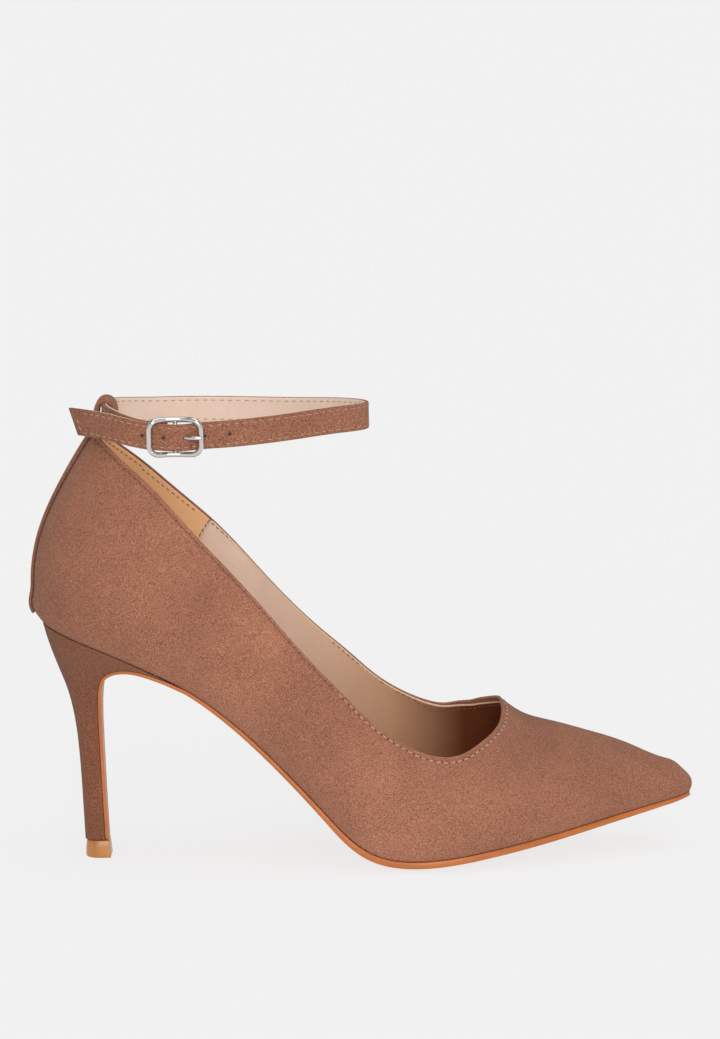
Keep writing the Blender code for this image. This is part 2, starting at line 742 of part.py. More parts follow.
def main():
    remove_startup_objects()
    make_object("upper", build_upper(), new_material("upper_suede", SUEDE, 0.9))
    make_object("outsole", build_outsole(), new_material("outsole_leather", LEATHER_EDGE, 0.45))
    make_object("heel", build_heel(), new_material("heel_suede", SUEDE, 0.9))
    make_object("top_lift", build_lift(), new_material("lift_rubber", LIFT_TAN, 0.35))
    make_object("insole", build_insole(), new_material("insole_leather", LINING, 0.6))
    make_object("back_strip", build_back_strip(), new_material("strip_suede", SUEDE, 0.9))

    strap = make_object("ankle_strap", build_strap(), new_material("strap_suede", SUEDE, 0.9))
    hole = wire(PRONG_HOLE, PRONG_WIRE + 2.0 * GAP + 0.2, 10)
    add_boolean(strap, make_object("prong_hole", hole, strap.data.materials[0]), "DIFFERENCE")

    metal = new_material("buckle_metal", METAL, 0.2, 1.0)
    frame = make_object("buckle_frame", build_buckle_frame(), metal)
    reach = 0.5 * (BUCKLE_HEIGHT - BUCKLE_WIRE)
    bar = upright_rod(BUCKLE_X, BUCKLE_BAR_Y, BUCKLE_Z - reach, BUCKLE_Z + reach, BAR_WIRE, 8)
    add_boolean(frame, make_object("bar_joined_to_frame", bar, metal), "UNION")
    prong = wire(smooth_route(PRONG_ROUTE, 9), PRONG_WIRE, 8)
    make_object("buckle_prong", prong, new_material("prong_metal", METAL, 0.2, 1.0))


if __name__ == "__main__":
    main()
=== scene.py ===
"""Ankle strap pump: the looks of a right shoe in mocha suede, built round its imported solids.

The shape of the last is worked out in millimetres, with x from the heel to the toe, y towards the
inner (medial) side of the foot and z up, and metres() turns a place into the frame's own metres.
"""

import math

import bmesh
import bpy
import numpy as np
from mathutils import Matrix, Vector
from mathutils.bvhtree import BVHTree


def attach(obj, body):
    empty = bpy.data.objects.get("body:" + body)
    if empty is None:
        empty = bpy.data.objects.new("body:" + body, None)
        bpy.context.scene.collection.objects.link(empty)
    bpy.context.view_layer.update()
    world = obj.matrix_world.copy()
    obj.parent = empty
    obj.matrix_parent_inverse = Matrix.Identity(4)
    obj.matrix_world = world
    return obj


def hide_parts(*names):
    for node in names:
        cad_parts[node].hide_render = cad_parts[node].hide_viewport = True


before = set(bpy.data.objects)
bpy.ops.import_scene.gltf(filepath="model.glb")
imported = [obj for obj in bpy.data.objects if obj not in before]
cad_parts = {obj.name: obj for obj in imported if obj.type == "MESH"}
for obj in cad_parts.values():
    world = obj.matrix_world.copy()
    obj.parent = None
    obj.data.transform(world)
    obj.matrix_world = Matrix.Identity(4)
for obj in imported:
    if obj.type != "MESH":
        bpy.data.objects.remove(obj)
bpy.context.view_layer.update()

MM = 0.001
GAP = 0.3
MIDDLE_X = -0.6

# The last, as in the part: ends of its feather line and how they round.
HEEL_X = -114.0
TOE_X = 116.5
THROAT_X = 50.0
HEEL_ROUND = 26.0
TOE_ROUND = 8.0
TOE_NOSE = 1.4
TOE_NOSE_HEIGHT = 9.0
HEEL_CURVE_LENGTH = 60.0
LOWER_PULL = 0.65

BOTTOM_COLUMNS = ("x", "height", "crown", "sole")
BOTTOM_ROWS = (
    (-114, 86.2, 0.0, 1.0),
    (-104, 82.6, 0.0, 1.0),
    (-92, 78.2, 0.0, 1.0),
    (-78, 71.7, 0.0, 1.0),
    (-64, 64.4, 0.0, 1.1),
    (-52, 56.2, 0.0, 1.3),
    (-38, 44.3, 0.2, 1.5),
    (-24, 30.8, 0.6, 1.6),
    (-12, 18.6, 1.1, 1.8),
    (-4, 10.9, 1.6, 2.1),
    (4, 6.2, 1.9, 2.3),
    (14, 4.2, 2.0, 2.3),
    (28, 4.6, 2.0, 2.3),
    (45, 6.9, 1.8, 2.2),
    (65, 10.2, 1.3, 2.1),
    (85, 13.9, 0.8, 2.0),
    (102, 17.0, 0.4, 1.7),
    (116.5, 19.8, 0.0, 1.2),
)
PLAN_COLUMNS = ("x", "axis", "foot_lat", "foot_med", "full_lat", "full_med", "ridge_y")
PLAN_ROWS = (
    (-114, 0.0, 22.0, 22.0, 27.0, 27.0, 0.0),
    (-88, 0.0, 22.0, 22.0, 27.5, 27.5, 0.0),
    (-70, 0.0, 20.5, 20.2, 27.0, 26.5, 0.0),
    (-50, 0.0, 19.5, 17.5, 27.5, 26.5, 0.6),
    (-30, 0.0, 22.5, 18.0, 30.0, 28.5, 1.8),
    (-15, 0.1, 28.0, 22.0, 33.5, 31.0, 2.8),
    (0, 0.4, 34.0, 28.5, 37.5, 34.5, 3.6),
    (18, 1.0, 38.5, 34.0, 41.0, 38.0, 4.2),
    (35, 2.0, 38.5, 35.0, 40.8, 38.0, 4.5),
    (55, 3.2, 33.5, 31.5, 36.0, 34.0, 4.8),
    (75, 4.3, 24.5, 23.5, 27.0, 26.0, 5.4),
    (95, 5.3, 14.0, 13.8, 16.5, 16.2, 5.9),
    (108, 5.8, 8.0, 8.0, 10.0, 10.0, 6.0),
    (116.5, 6.0, 5.0, 5.0, 6.5, 6.5, 6.0),
)
SECTION_COLUMNS = ("x", "lean", "full_height", "ridge_height", "square_side", "square_top")
SECTION_ROWS = (
    (-114, 15.0, 20.0, 92.0, 0.50, 0.50),
    (-90, 15.0, 20.0, 98.0, 0.50, 0.50),
    (-65, 13.5, 20.0, 104.0, 0.50, 0.50),
    (-40, 11.0, 19.0, 104.0, 0.48, 0.50),
    (-20, 8.5, 17.0, 100.0, 0.46, 0.48),
    (0, 5.5, 14.0, 91.0, 0.44, 0.46),
    (20, 2.5, 11.5, 76.0, 0.42, 0.42),
    (35, 0.8, 10.0, 61.5, 0.40, 0.40),
    (48, 0.0, 9.3, 48.5, 0.40, 0.40),
    (52, 0.0, 9.2, 44.4, 0.41, 0.41),
    (56, 0.0, 9.0, 41.0, 0.42, 0.42),
    (66, 0.0, 8.4, 35.9, 0.45, 0.45),
    (80, 0.0, 7.3, 29.3, 0.48, 0.48),
    (95, 0.0, 6.0, 21.4, 0.50, 0.50),
    (108, 0.0, 5.0, 13.6, 0.52, 0.52),
    (116.5, 0.0, 4.6, 11.0, 0.55, 0.55),
)
BACK_COLUMNS = ("height", "behind")
BACK_ROWS = (
    (0, 0.0),
    (2.4, 3.2),
    (9.6, 5.6),
    (15, 6.7),
    (21.4, 7.7),
    (29, 8.0),
    (38, 7.2),
    (51, 4.5),
    (65, 0.5),
    (80, -4.8),
    (95, -10.8),
)
OPENING_COLUMNS = ("x", "lat", "med")
OPENING_ROWS = (
    (-114, 0.0220, 0.0220),
    (-100, 0.0288, 0.0297),
    (-85, 0.0371, 0.0379),
    (-65, 0.0497, 0.0478),
    (-45, 0.0594, 0.0568),
    (-20, 0.0709, 0.0638),
    (0, 0.0806, 0.0684),
    (18, 0.1030, 0.0840),
    (32, 0.1310, 0.0965),
    (38, 0.1460, 0.0950),
    (42, 0.1570, 0.0880),
    (45, 0.1700, 0.0700),
    (47, 0.1870, 0.0500),
    (48.9, 0.2300, 0.0360),
    (49.6, 0.3200, 0.0330),
    (50.0, 0.3800, 0.0320),
)
HEEL_COLUMNS = ("share", "back_x", "back_z", "front_x", "front_z", "half", "front_half", "round")
HEEL_ROWS = (
    (0.00, -100.6, 6.5, -93.3, 6.5, 5.0, 4.6, 4.6),
    (0.22, -101.3, 24.0, -94.0, 23.5, 5.3, 4.9, 4.8),
    (0.42, -102.1, 39.0, -94.5, 40.0, 5.9, 5.5, 5.2),
    (0.58, -103.6, 52.0, -94.8, 53.5, 7.2, 6.8, 6.3),
    (0.70, -106.0, 62.0, -94.3, 62.0, 9.8, 9.4, 8.6),
    (0.79, -108.6, 69.0, -92.2, 67.2, 13.2, 12.8, 12.0),
    (0.86, -110.8, 75.0, -87.4, 69.8, 16.6, 15.8, 16.0),
    (0.93, -112.6, 80.5, -79.5, 69.9, 19.8, 18.8, 21.0),
    (1.00, -114.0, 85.9, -69.0, 66.5, 22.0, 20.4, 26.0),
)
LIFT_COLUMNS = ("height", "back_x", "front_x", "half", "round")
LIFT_ROWS = (
    (0.0, -100.4, -91.3, 5.5, 5.1),
    (1.2, -100.5, -91.4, 5.4, 5.0),
    (6.2, -100.0, -91.9, 4.9, 4.6),
)
LIFT_HEIGHT = 6.2
STRIP_COLUMNS = ("share", "half")
STRIP_ROWS = ((0.0, 2.2), (0.3, 2.6), (0.7, 3.8), (1.0, 5.2))
STRIP_THICKNESS = 1.0
LOOP_HALF = 5.0
LOOP_ROUTE = (
    (-94.6, 155.6),
    (-93.8, 158.2),
    (-93.3, 161.0),
    (-92.7, 163.6),
    (-91.3, 165.4),
    (-89.6, 165.9),
    (-87.9, 165.4),
    (-86.5, 163.6),
    (-86.0, 160.6),
    (-86.0, 157.0),
    (-86.9, 154.4),
    (-88.8, 153.0),
)
STRAP_WIDTH = 9.6
STRAP_SLANT = 2.0
STRAP_ROUTE = (
    (-66.2, -29.2, 156.2),
    (-74.0, -27.3, 156.6),
    (-82.4, -21.0, 158.2),
    (-88.4, -11.4, 159.6),
    (-90.0, 0.0, 160.0),
    (-87.8, 9.6, 159.7),
    (-82.4, 16.6, 158.9),
    (-75.3, 22.0, 158.1),
    (-61.2, 28.4, 157.3),
    (-43.4, 31.0, 156.6),
    (-21.5, 25.0, 156.8),
    (-3.2, 10.0, 158.3),
    (2.8, -1.0, 158.8),
    (1.0, -8.5, 159.0),
    (-6.1, -14.6, 159.0),
    (-23.4, -25.4, 158.2),
    (-40.7, -30.4, 157.0),
    (-48.5, -30.7, 156.5),
    (-53.8, -30.7, 156.2),
    (-58.4, -31.9, 155.9),
    (-63.4, -33.4, 155.9),
    (-68.4, -31.9, 156.0),
    (-73.0, -30.7, 156.3),
    (-80.0, -28.4, 157.4),
    (-88.0, -22.2, 158.6),
    (-99.8, -12.0, 159.2),
)
BUCKLE_X = -63.4
BUCKLE_Z = 155.9
BUCKLE_LENGTH = 20.2
BUCKLE_HEIGHT = 14.2
BUCKLE_CORNER = 3.6
BUCKLE_WIRE = 1.9
BUCKLE_SIDE_Y = -33.35
BUCKLE_BAR_Y = -31.2
BAR_WIRE = 1.7
PRONG_WIRE = 1.4
PRONG_ROUTE = (
    (-61.6, -31.2, 155.9),
    (-60.8, -32.3, 155.9),
    (-59.7, -33.5, 155.9),
    (-58.3, -34.4, 155.9),
    (-56.4, -35.0, 155.9),
    (-54.1, -35.2, 155.9),
)


def smooth_curve(xs, ys):
    """A natural cubic curve through the points, as a function of x."""
    xs = np.asarray(xs, float)
    ys = np.asarray(ys, float)
    last = len(xs) - 1
    steps = np.diff(xs)
    slopes = np.diff(ys) / steps
    matrix = np.eye(last + 1)
    right = np.zeros(last + 1)
    for i in range(1, last):
        matrix[i, i - 1] = steps[i - 1]
        matrix[i, i] = 2.0 * (steps[i - 1] + steps[i])
        matrix[i, i + 1] = steps[i]
        right[i] = 6.0 * (slopes[i] - slopes[i - 1])
    bend = np.linalg.solve(matrix, right)

    def value(x):
        x = np.clip(x, xs[0], xs[-1])
        i = np.clip(np.searchsorted(xs, x) - 1, 0, last - 1)
        step = steps[i]
        before = (xs[i + 1] - x) / step
        after = (x - xs[i]) / step
        straight = before * ys[i] + after * ys[i + 1]
        bent = (before**3 - before) * bend[i] + (after**3 - after) * bend[i + 1]
        return straight + bent * step * step / 6.0

    return value


def smooth_table(names, rows):
    columns = np.array(rows, float).T
    return {name: smooth_curve(columns[0], column) for name, column in zip(names[1:], columns[1:])}


def lengths_along(points):
    steps = np.linalg.norm(np.diff(points, axis=0), axis=1)
    return np.concatenate([[0.0], np.cumsum(steps)])


def sampled(line, along, places):
    """A line's points at these distances along it, with along its own points' distances."""
    return np.stack([np.interp(places, along, column) for column in line.T], axis=1)


def smooth_route(points, places):
    """Points on a smooth line through the given ones, at these distances along it."""
    points = np.array(points, float)
    along = lengths_along(points)
    return np.stack([smooth_curve(along, column)(places) for column in points.T], axis=1)


BOTTOM = smooth_table(BOTTOM_COLUMNS, BOTTOM_ROWS)
PLAN = smooth_table(PLAN_COLUMNS, PLAN_ROWS)
SECTION = smooth_table(SECTION_COLUMNS, SECTION_ROWS)
BACK = smooth_table(BACK_COLUMNS, BACK_ROWS)
OPENING = smooth_table(OPENING_COLUMNS, OPENING_ROWS)
HEEL = smooth_table(HEEL_COLUMNS, HEEL_ROWS)
LIFT = smooth_table(LIFT_COLUMNS, LIFT_ROWS)
STRIP = smooth_table(STRIP_COLUMNS, STRIP_ROWS)


def round_end(distance, radius):
    """0 at an end of the shoe, rising like a circle's edge to 1 at one radius from it."""
    share = np.clip(distance / radius, 0.0, 1.0)
    return np.sqrt(1.0 - (1.0 - share) ** 2)


def bezier(start, pull_start, pull_end, end, shares):
    """Points on one cubic per row of the given ends, as an array of rows, points and 2 coordinates."""
    rest = 1.0 - shares
    weights = (rest**3, 3.0 * rest**2 * shares, 3.0 * rest * shares**2, shares**3)
    corners = [np.stack(corner, axis=-1) for corner in (start, pull_start, pull_end, end)]
    return sum(weight[None, :, None] * corner[:, None, :] for weight, corner in zip(weights, corners))


def section_curves(x, side):
    """Half a cross section of the last at each x, as distance out and height up, feather to ridge."""
    foot = np.where(side < 0, PLAN["foot_lat"](x), PLAN["foot_med"](x))
    full = np.where(side < 0, PLAN["full_lat"](x), PLAN["full_med"](x))
    full_height = SECTION["full_height"](x)
    ridge_height = SECTION["ridge_height"](x)
    ridge = side * (PLAN["ridge_y"](x) - PLAN["axis"](x))
    rise = (ridge_height - full_height) * SECTION["square_side"](x)
    reach = (full - ridge) * SECTION["square_top"](x)
    steps = np.linspace(0.0, 1.0, 49)
    low = bezier(
        (foot, 0.0 * foot),
        (foot + LOWER_PULL * (full - foot), 0.22 * full_height),
        (full, 0.55 * full_height),
        (full, full_height),
        steps,
    )
    high = bezier(
        (full, full_height),
        (full, full_height + rise),
        (ridge + reach, ridge_height),
        (ridge, ridge_height),
        steps[1:],
    )
    return np.concatenate([low, high], axis=1)


def lengths_of(curves):
    """Length from the start of each curve to each of its points."""
    steps = np.linalg.norm(np.diff(curves, axis=1), axis=2)
    return np.concatenate([np.zeros((len(curves), 1)), np.cumsum(steps, axis=1)], axis=1)


def last_block(x, side, share):
    """One block of last_points, small enough to be worked out at once."""
    curves = section_curves(x, side)
    along = lengths_of(curves)
    along /= along[:, -1:]
    rows = np.arange(len(x))
    k = np.clip((along < share[:, None]).sum(axis=1) - 1, 0, curves.shape[1] - 2)
    before = along[rows, k]
    part = np.clip((share - before) / (along[rows, k + 1] - before), 0.0, 1.0)[:, None]
    place = curves[rows, k] * (1.0 - part) + curves[rows, k + 1] * part
    toe = round_end(TOE_X - x, TOE_ROUND)
    heel = round_end(x - HEEL_X, HEEL_ROUND)
    out = place[:, 0] * toe * heel
    height = place[:, 1] * toe
    lean = np.radians(SECTION["lean"](x))
    heel_fade = np.maximum(0.0, 1.0 - (x - HEEL_X) / HEEL_CURVE_LENGTH) ** 2
    toe_fade = np.maximum(0.0, 1.0 - (TOE_X - x) / (2.0 * TOE_ROUND)) ** 2
    behind = BACK["behind"](height) * heel_fade
    nose = TOE_NOSE * toe_fade * np.sin(math.pi * np.clip(height / TOE_NOSE_HEIGHT, 0.0, 1.0))
    px = x + height * np.sin(lean) - behind * np.cos(lean) + nose
    py = PLAN["axis"](x) + side * out
    pz = BOTTOM["height"](x) + height * np.cos(lean) + behind * np.sin(lean)
    return np.stack([px, py, pz], axis=1)


def last_points(x, side, share):
    """Points of the upper's outside: each in the section at x, at a share from feather to ridge."""
    x, side, share = (np.ravel(a).astype(float) for a in np.broadcast_arrays(x, side, share))
    blocks = np.array_split(np.arange(len(x)), max(1, len(x) // 4000))
    return np.concatenate([last_block(x[block], side[block], share[block]) for block in blocks])


def collar_share(x, side):
    """How far up the section at x the upper reaches, behind the throat."""
    name = "lat" if side < 0 else "med"
    return 1.0 - float(OPENING[name](x)) * math.sqrt(THROAT_X - x)


def metres(points):
    """Places in the frame's metres, from places in the last's millimetres."""
    return (np.asarray(points, float) - (MIDDLE_X, 0.0, 0.0)) * MM


# The upper's flat pattern: u runs along the shoe and w out from the ridge, lateral side negative.

OUTLINE_X = np.linspace(HEEL_X, TOE_X, 200)
OUTLINE_LENGTH = {
    side: lengths_of(section_curves(OUTLINE_X, side + 0.0 * OUTLINE_X))[:, -1]
    for side in (-1, 1)
}


def outline_length(x, side):
    """How long the section's outline is at x, from feather to ridge."""
    lateral = np.interp(x, OUTLINE_X, OUTLINE_LENGTH[-1])
    medial = np.interp(x, OUTLINE_X, OUTLINE_LENGTH[1])
    return np.where(np.asarray(side) < 0, lateral, medial)


def pattern_u(x):
    """x in the flat pattern, where the two round ends are laid out at their true length."""
    x = np.asarray(x, float)
    behind = np.clip(HEEL_X + HEEL_ROUND - x, 0.0, HEEL_ROUND)
    ahead = np.clip(x - (TOE_X - TOE_ROUND), 0.0, TOE_ROUND)
    heel = HEEL_ROUND * np.arcsin(behind / HEEL_ROUND) - behind
    toe = TOE_ROUND * np.arcsin(ahead / TOE_ROUND) - ahead
    return x - heel + toe


def pattern_x(u):
    """x on the last, from u in the flat pattern."""
    u = np.asarray(u, float)
    behind = np.clip(HEEL_X + HEEL_ROUND - u, 0.0, 0.5 * math.pi * HEEL_ROUND)
    ahead = np.clip(u - (TOE_X - TOE_ROUND), 0.0, 0.5 * math.pi * TOE_ROUND)
    heel = behind - HEEL_ROUND * np.sin(behind / HEEL_ROUND)
    toe = ahead - TOE_ROUND * np.sin(ahead / TOE_ROUND)
    return u + heel - toe


def on_last(pattern):
    """Points of the upper's outside, from points of the flat pattern."""
    pattern = np.asarray(pattern, float)
    x = pattern_x(pattern[:, 0])
    side = np.where(pattern[:, 1] < 0.0, -1.0, 1.0)
    share = 1.0 - np.abs(pattern[:, 1]) / outline_length(x, side)
    return last_points(x, side, np.clip(share, 0.0, 1.0))


# Behind this x the foot opening follows OPENING; its round front is THROAT_ROUTE, as (x, w), from
# the lateral side over the ridge to the medial.
THROAT_ROUTE_BACK = 27.0
THROAT_ROUTE = (
    (35.6, -43.3),
    (40.1, -36.7),
    (43.8, -30.3),
    (47.1, -23.2),
    (48.8, -18.0),
    (49.6, -13.6),
    (49.9, -9.2),
    (49.8, -4.8),
    (49.4, -0.4),
    (48.6, 4.2),
    (47.3, 8.8),
    (45.6, 12.8),
    (43.7, 16.4),
    (41.2, 20.4),
    (37.6, 25.9),
    (33.6, 30.5),
)


def topline(step, inset=0.0):
    """The foot opening in the flat pattern, lateral heel to medial heel, moved out by an inset."""
    heel = HEEL_X + HEEL_ROUND * (1.0 - np.cos(np.linspace(0.0, 0.5 * math.pi, 5)))
    behind = [*heel, *np.linspace(HEEL_X + HEEL_ROUND, THROAT_ROUTE_BACK, 11)[1:]]
    ends = []
    for side in (-1, 1):
        down = [side * (1.0 - collar_share(x, side)) * float(outline_length(x, side)) for x in behind]
        ends.append(np.stack([pattern_u(behind), down], axis=1))
    knots = np.concatenate([ends[0], np.array(THROAT_ROUTE), ends[1][::-1]])
    length = lengths_along(knots)[-1]
    line = smooth_route(knots, np.linspace(0.0, length, int(length / 0.4)))
    line[0] = knots[0]
    line[-1] = knots[-1]
    if np.any(inset):
        along = directions(line)
        outward = np.stack([along[:, 1], -along[:, 0]], axis=1)
        amount = inset(pattern_x(line[:, 0]), line[:, 1]) if callable(inset) else inset
        line = line + outward * np.reshape(amount, (-1, 1))
        line[[0, -1], 0] = knots[0, 0]
    line = line[line[:, 0] >= knots[0, 0] - 1e-6]
    along = lengths_along(line)
    return sampled(line, along, np.linspace(0.0, along[-1], int(along[-1] / step) + 1))


# Mesh helpers

def grid_of(points, weld=0.00002):
    """A bmesh grid laid on these points of the last, row by row, and welded where they meet."""
    places = metres(points)
    rows, columns, _ = places.shape
    bm = bmesh.new()
    bmesh.ops.create_grid(bm, x_segments=columns - 1, y_segments=rows - 1, size=1.0)
    row_of = bm.verts.layers.int.new("row")
    column_of = bm.verts.layers.int.new("column")
    for vert in bm.verts:
        i = round((vert.co.y + 1.0) * 0.5 * (rows - 1))
        j = round((vert.co.x + 1.0) * 0.5 * (columns - 1))
        vert[row_of] = i
        vert[column_of] = j
        vert.co = places[i, j]
    bmesh.ops.remove_doubles(bm, verts=bm.verts, dist=weld)
    bm.normal_update()
    return bm


def thicken(bm, depth):
    """Gives an open sheet a second skin, depth metres behind it, and closes the edges between."""
    inward = {tuple(vert.co): vert.normal * -depth for vert in bm.verts}
    made = bmesh.ops.extrude_face_region(bm, geom=list(bm.faces))["geom"]
    for vert in made:
        if isinstance(vert, bmesh.types.BMVert):
            vert.co += inward[tuple(vert.co)]
    bmesh.ops.recalc_face_normals(bm, faces=bm.faces)


def round_edges(bm, edges, offset, segments):
    bmesh.ops.bevel(
        bm,
        geom=edges,
        offset=offset,
        offset_type="OFFSET",
        segments=segments,
        profile=0.5,
        affect="EDGES",
        clamp_overlap=True,
        material=-1,
    )


def fill_ends(bm):
    """Closes each hole of the mesh with one face."""
    open_edges = [edge for edge in bm.edges if edge.is_boundary]
    bmesh.ops.holes_fill(bm, edges=open_edges, sides=0)
    bmesh.ops.recalc_face_normals(bm, faces=bm.faces)


def capped(rings):
    """A closed body from its rings, with both ends filled."""
    bm = grid_of(rings)
    fill_ends(bm)
    return bm


def directions(points, closed=False):
    """Unit directions along a line of points."""
    points = np.asarray(points, float)
    if closed:
        along = np.roll(points, -1, axis=0) - np.roll(points, 1, axis=0)
    else:
        along = np.gradient(points, axis=0)
    return along / np.linalg.norm(along, axis=1, keepdims=True)


def band_rings(front, back, swell=1.0):
    """Closed rings round a flat band: across its front, over one edge, its back and the other edge."""
    front = np.asarray(front, float)
    back = np.asarray(back, float)
    rings = []
    for top, under in zip(front, back):
        right = rounded_edge(top[-1], under[-1], top[-1] - top[-2], swell)
        left = rounded_edge(under[0], top[0], top[0] - top[1], swell)
        rings.append(np.concatenate([top, right, under[::-1], left, top[:1]]))
    return np.array(rings)


def rounded_edge(start, end, outwards, swell):
    """Five points round the edge of a band, between the last point of one face and of the other."""
    outwards = outwards / np.linalg.norm(outwards)
    middle = 0.5 * (start + end)
    half = 0.5 * (start - end)
    size = float(np.linalg.norm(half)) * swell
    turns = np.linspace(0.0, math.pi, 7)[1:-1]
    return np.array([middle + half * math.cos(t) + outwards * size * math.sin(t) for t in turns])


def tube_rings(route, across, along_radius, across_radius, sides, closed=False):
    """Closed rings of an oval wire along a route; across is a direction the route never follows."""
    rings = []
    for point, direction in zip(route, directions(route, closed)):
        wide = np.cross(direction, across)
        wide = wide / np.linalg.norm(wide)
        deep = np.cross(direction, wide)
        turns = np.linspace(0.0, 2.0 * math.pi, sides + 1)[:, None]
        rings.append(point + along_radius * np.cos(turns) * wide + across_radius * np.sin(turns) * deep)
    if closed:
        rings.append(rings[0])
    return np.array(rings)


def absorb(target, other):
    """Adds another bmesh to this one and frees the other."""
    holder = bpy.data.meshes.new("holder")
    other.to_mesh(holder)
    other.free()
    target.from_mesh(holder)
    bpy.data.meshes.remove(holder)


def finish_piece(name, bm, material, node):
    """Puts a piece in the scene, riding on the shoe's one body and standing for its CAD node."""
    mesh = bpy.data.meshes.new(name)
    bm.to_mesh(mesh)
    bm.free()
    mesh.materials.append(material)
    mesh.polygons.foreach_set("use_smooth", [True] * len(mesh.polygons))
    piece = bpy.data.objects.new(name, mesh)
    bpy.context.scene.collection.objects.link(piece)
    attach(piece, "root")
    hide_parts(node)
    return piece


# Materials

class Finish:
    """A node material under construction, with short calls for the nodes that the finishes share."""

    def __init__(self, name):
        self.material = bpy.data.materials.new(name)
        self.material.use_nodes = True
        self.nodes = self.material.node_tree.nodes
        self.links = self.material.node_tree.links
        self.shader = self.nodes["Principled BSDF"]
        self.place = self.nodes.new("ShaderNodeTexCoord").outputs["Object"]

    def put(self, kind, inputs=(), **settings):
        node = self.nodes.new(kind)
        for key, value in settings.items():
            setattr(node, key, value)
        for socket, value in dict(inputs).items():
            if isinstance(value, bpy.types.NodeSocket):
                self.links.new(value, node.inputs[socket])
            else:
                node.inputs[socket].default_value = value
        return node

    def noise(self, scale, detail=3.0, roughness=0.55, distortion=0.0, where=None):
        values = {"Vector": where or self.place, "Scale": scale, "Detail": detail}
        values.update({"Roughness": roughness, "Distortion": distortion})
        return self.put("ShaderNodeTexNoise", values).outputs["Fac"]

    def stretched(self, scale, rotation=(0.0, 0.0, 0.0)):
        values = {"Vector": self.place, "Scale": scale, "Rotation": rotation}
        return self.put("ShaderNodeMapping", values).outputs["Vector"]

    def range(self, value, low, high, to_low=0.0, to_high=1.0):
        values = {"Value": value, "From Min": low, "From Max": high, "To Min": to_low, "To Max": to_high}
        return self.put("ShaderNodeMapRange", values).outputs["Result"]

    def mix(self, share, first, second, blend="MIX"):
        node = self.put("ShaderNodeMix", data_type="RGBA", blend_type=blend)
        for index, value in ((0, share), (6, first), (7, second)):
            if isinstance(value, bpy.types.NodeSocket):
                self.links.new(value, node.inputs[index])
            elif index == 0:
                node.inputs[index].default_value = value
            else:
                node.inputs[index].default_value = (*value, 1.0)
        return node.outputs[2]

    def toned(self, value, low, high, base, dark, light):
        """The base colour, from darker to lighter as the value goes from low to high."""
        share = self.range(value, low, high)
        return self.mix(share, tuple(dark * c for c in base), tuple(light * c for c in base))

    def along_shoe(self):
        """x of the point, in metres."""
        return self.put("ShaderNodeSeparateXYZ", {"Vector": self.place}).outputs["X"]

    def sum(self, first, second, operation="ADD"):
        return self.put("ShaderNodeMath", {0: first, 1: second}, operation=operation).outputs[0]

    def bump(self, height, strength, distance, normal=None):
        values = {"Height": height, "Strength": strength, "Distance": distance}
        if normal is not None:
            values["Normal"] = normal
        return self.put("ShaderNodeBump", values).outputs["Normal"]

    def surface(self, **inputs):
        """Sets or links the shader's sockets, named with _ for a space."""
        for key, value in inputs.items():
            socket = self.shader.inputs[key.replace("_", " ")]
            if isinstance(value, bpy.types.NodeSocket):
                self.links.new(value, socket)
            else:
                socket.default_value = value
        return self.material


def suede(name, base, grain=2400.0):
    """Brushed suede: fine nap with lighter and darker fibres, soft patches where it lies over, and painted
    shade at both ends.
    """
    finish = Finish(name)
    dark = (0.40 * base[0], 0.34 * base[1], 0.30 * base[2])
    light = (1.66 * base[0], 1.86 * base[1], 2.0 * base[2])
    nap = finish.noise(grain, 2.0, 0.6)
    fibres = finish.noise(grain * 2.2, 2.0, 0.6, where=finish.stretched((1.0, 1.0, 0.4)))
    brushed = finish.noise(95.0, 4.0, 0.65, 0.5)
    patches = finish.noise(22.0, 2.0, 0.5, 0.3)
    mixed = finish.sum(finish.sum(nap, 0.65, "MULTIPLY"), finish.sum(fibres, 0.35, "MULTIPLY"))
    colour = finish.mix(finish.range(mixed, 0.38, 0.63), dark, light)
    colour = finish.mix(0.27, colour, finish.toned(brushed, 0.36, 0.66, base, 0.84, 1.12))
    # painted shade: the colour darkens towards the toe and, more strongly, towards the back of the heel
    along = finish.along_shoe()
    front = finish.range(along, 0.015, 0.060, 1.0, 0.86)
    back = finish.range(along, -0.112, -0.050, 0.74, 1.0)
    ends = finish.sum(front, back, "MULTIPLY")
    soft = finish.sum(finish.range(patches, 0.34, 0.66, 0.87, 1.09), ends, "MULTIPLY")
    shade = finish.put("ShaderNodeCombineColor", {0: soft, 1: soft, 2: soft}).outputs[0]
    colour = finish.mix(1.0, colour, shade, "MULTIPLY")
    normal = finish.bump(mixed, 0.85, 0.00055)
    return finish.surface(
        Base_Color=colour,
        Roughness=0.95,
        Normal=normal,
        Specular_IOR_Level=0.12,
        Sheen_Weight=0.12,
        Sheen_Roughness=0.5,
        Sheen_Tint=(1.0, 0.80, 0.66, 1.0),
    )


# painted shade: the tan that the lining passes through on its way to the dark vamp colour
VAMP_SHADE_TAN = (0.60, 0.345, 0.20)


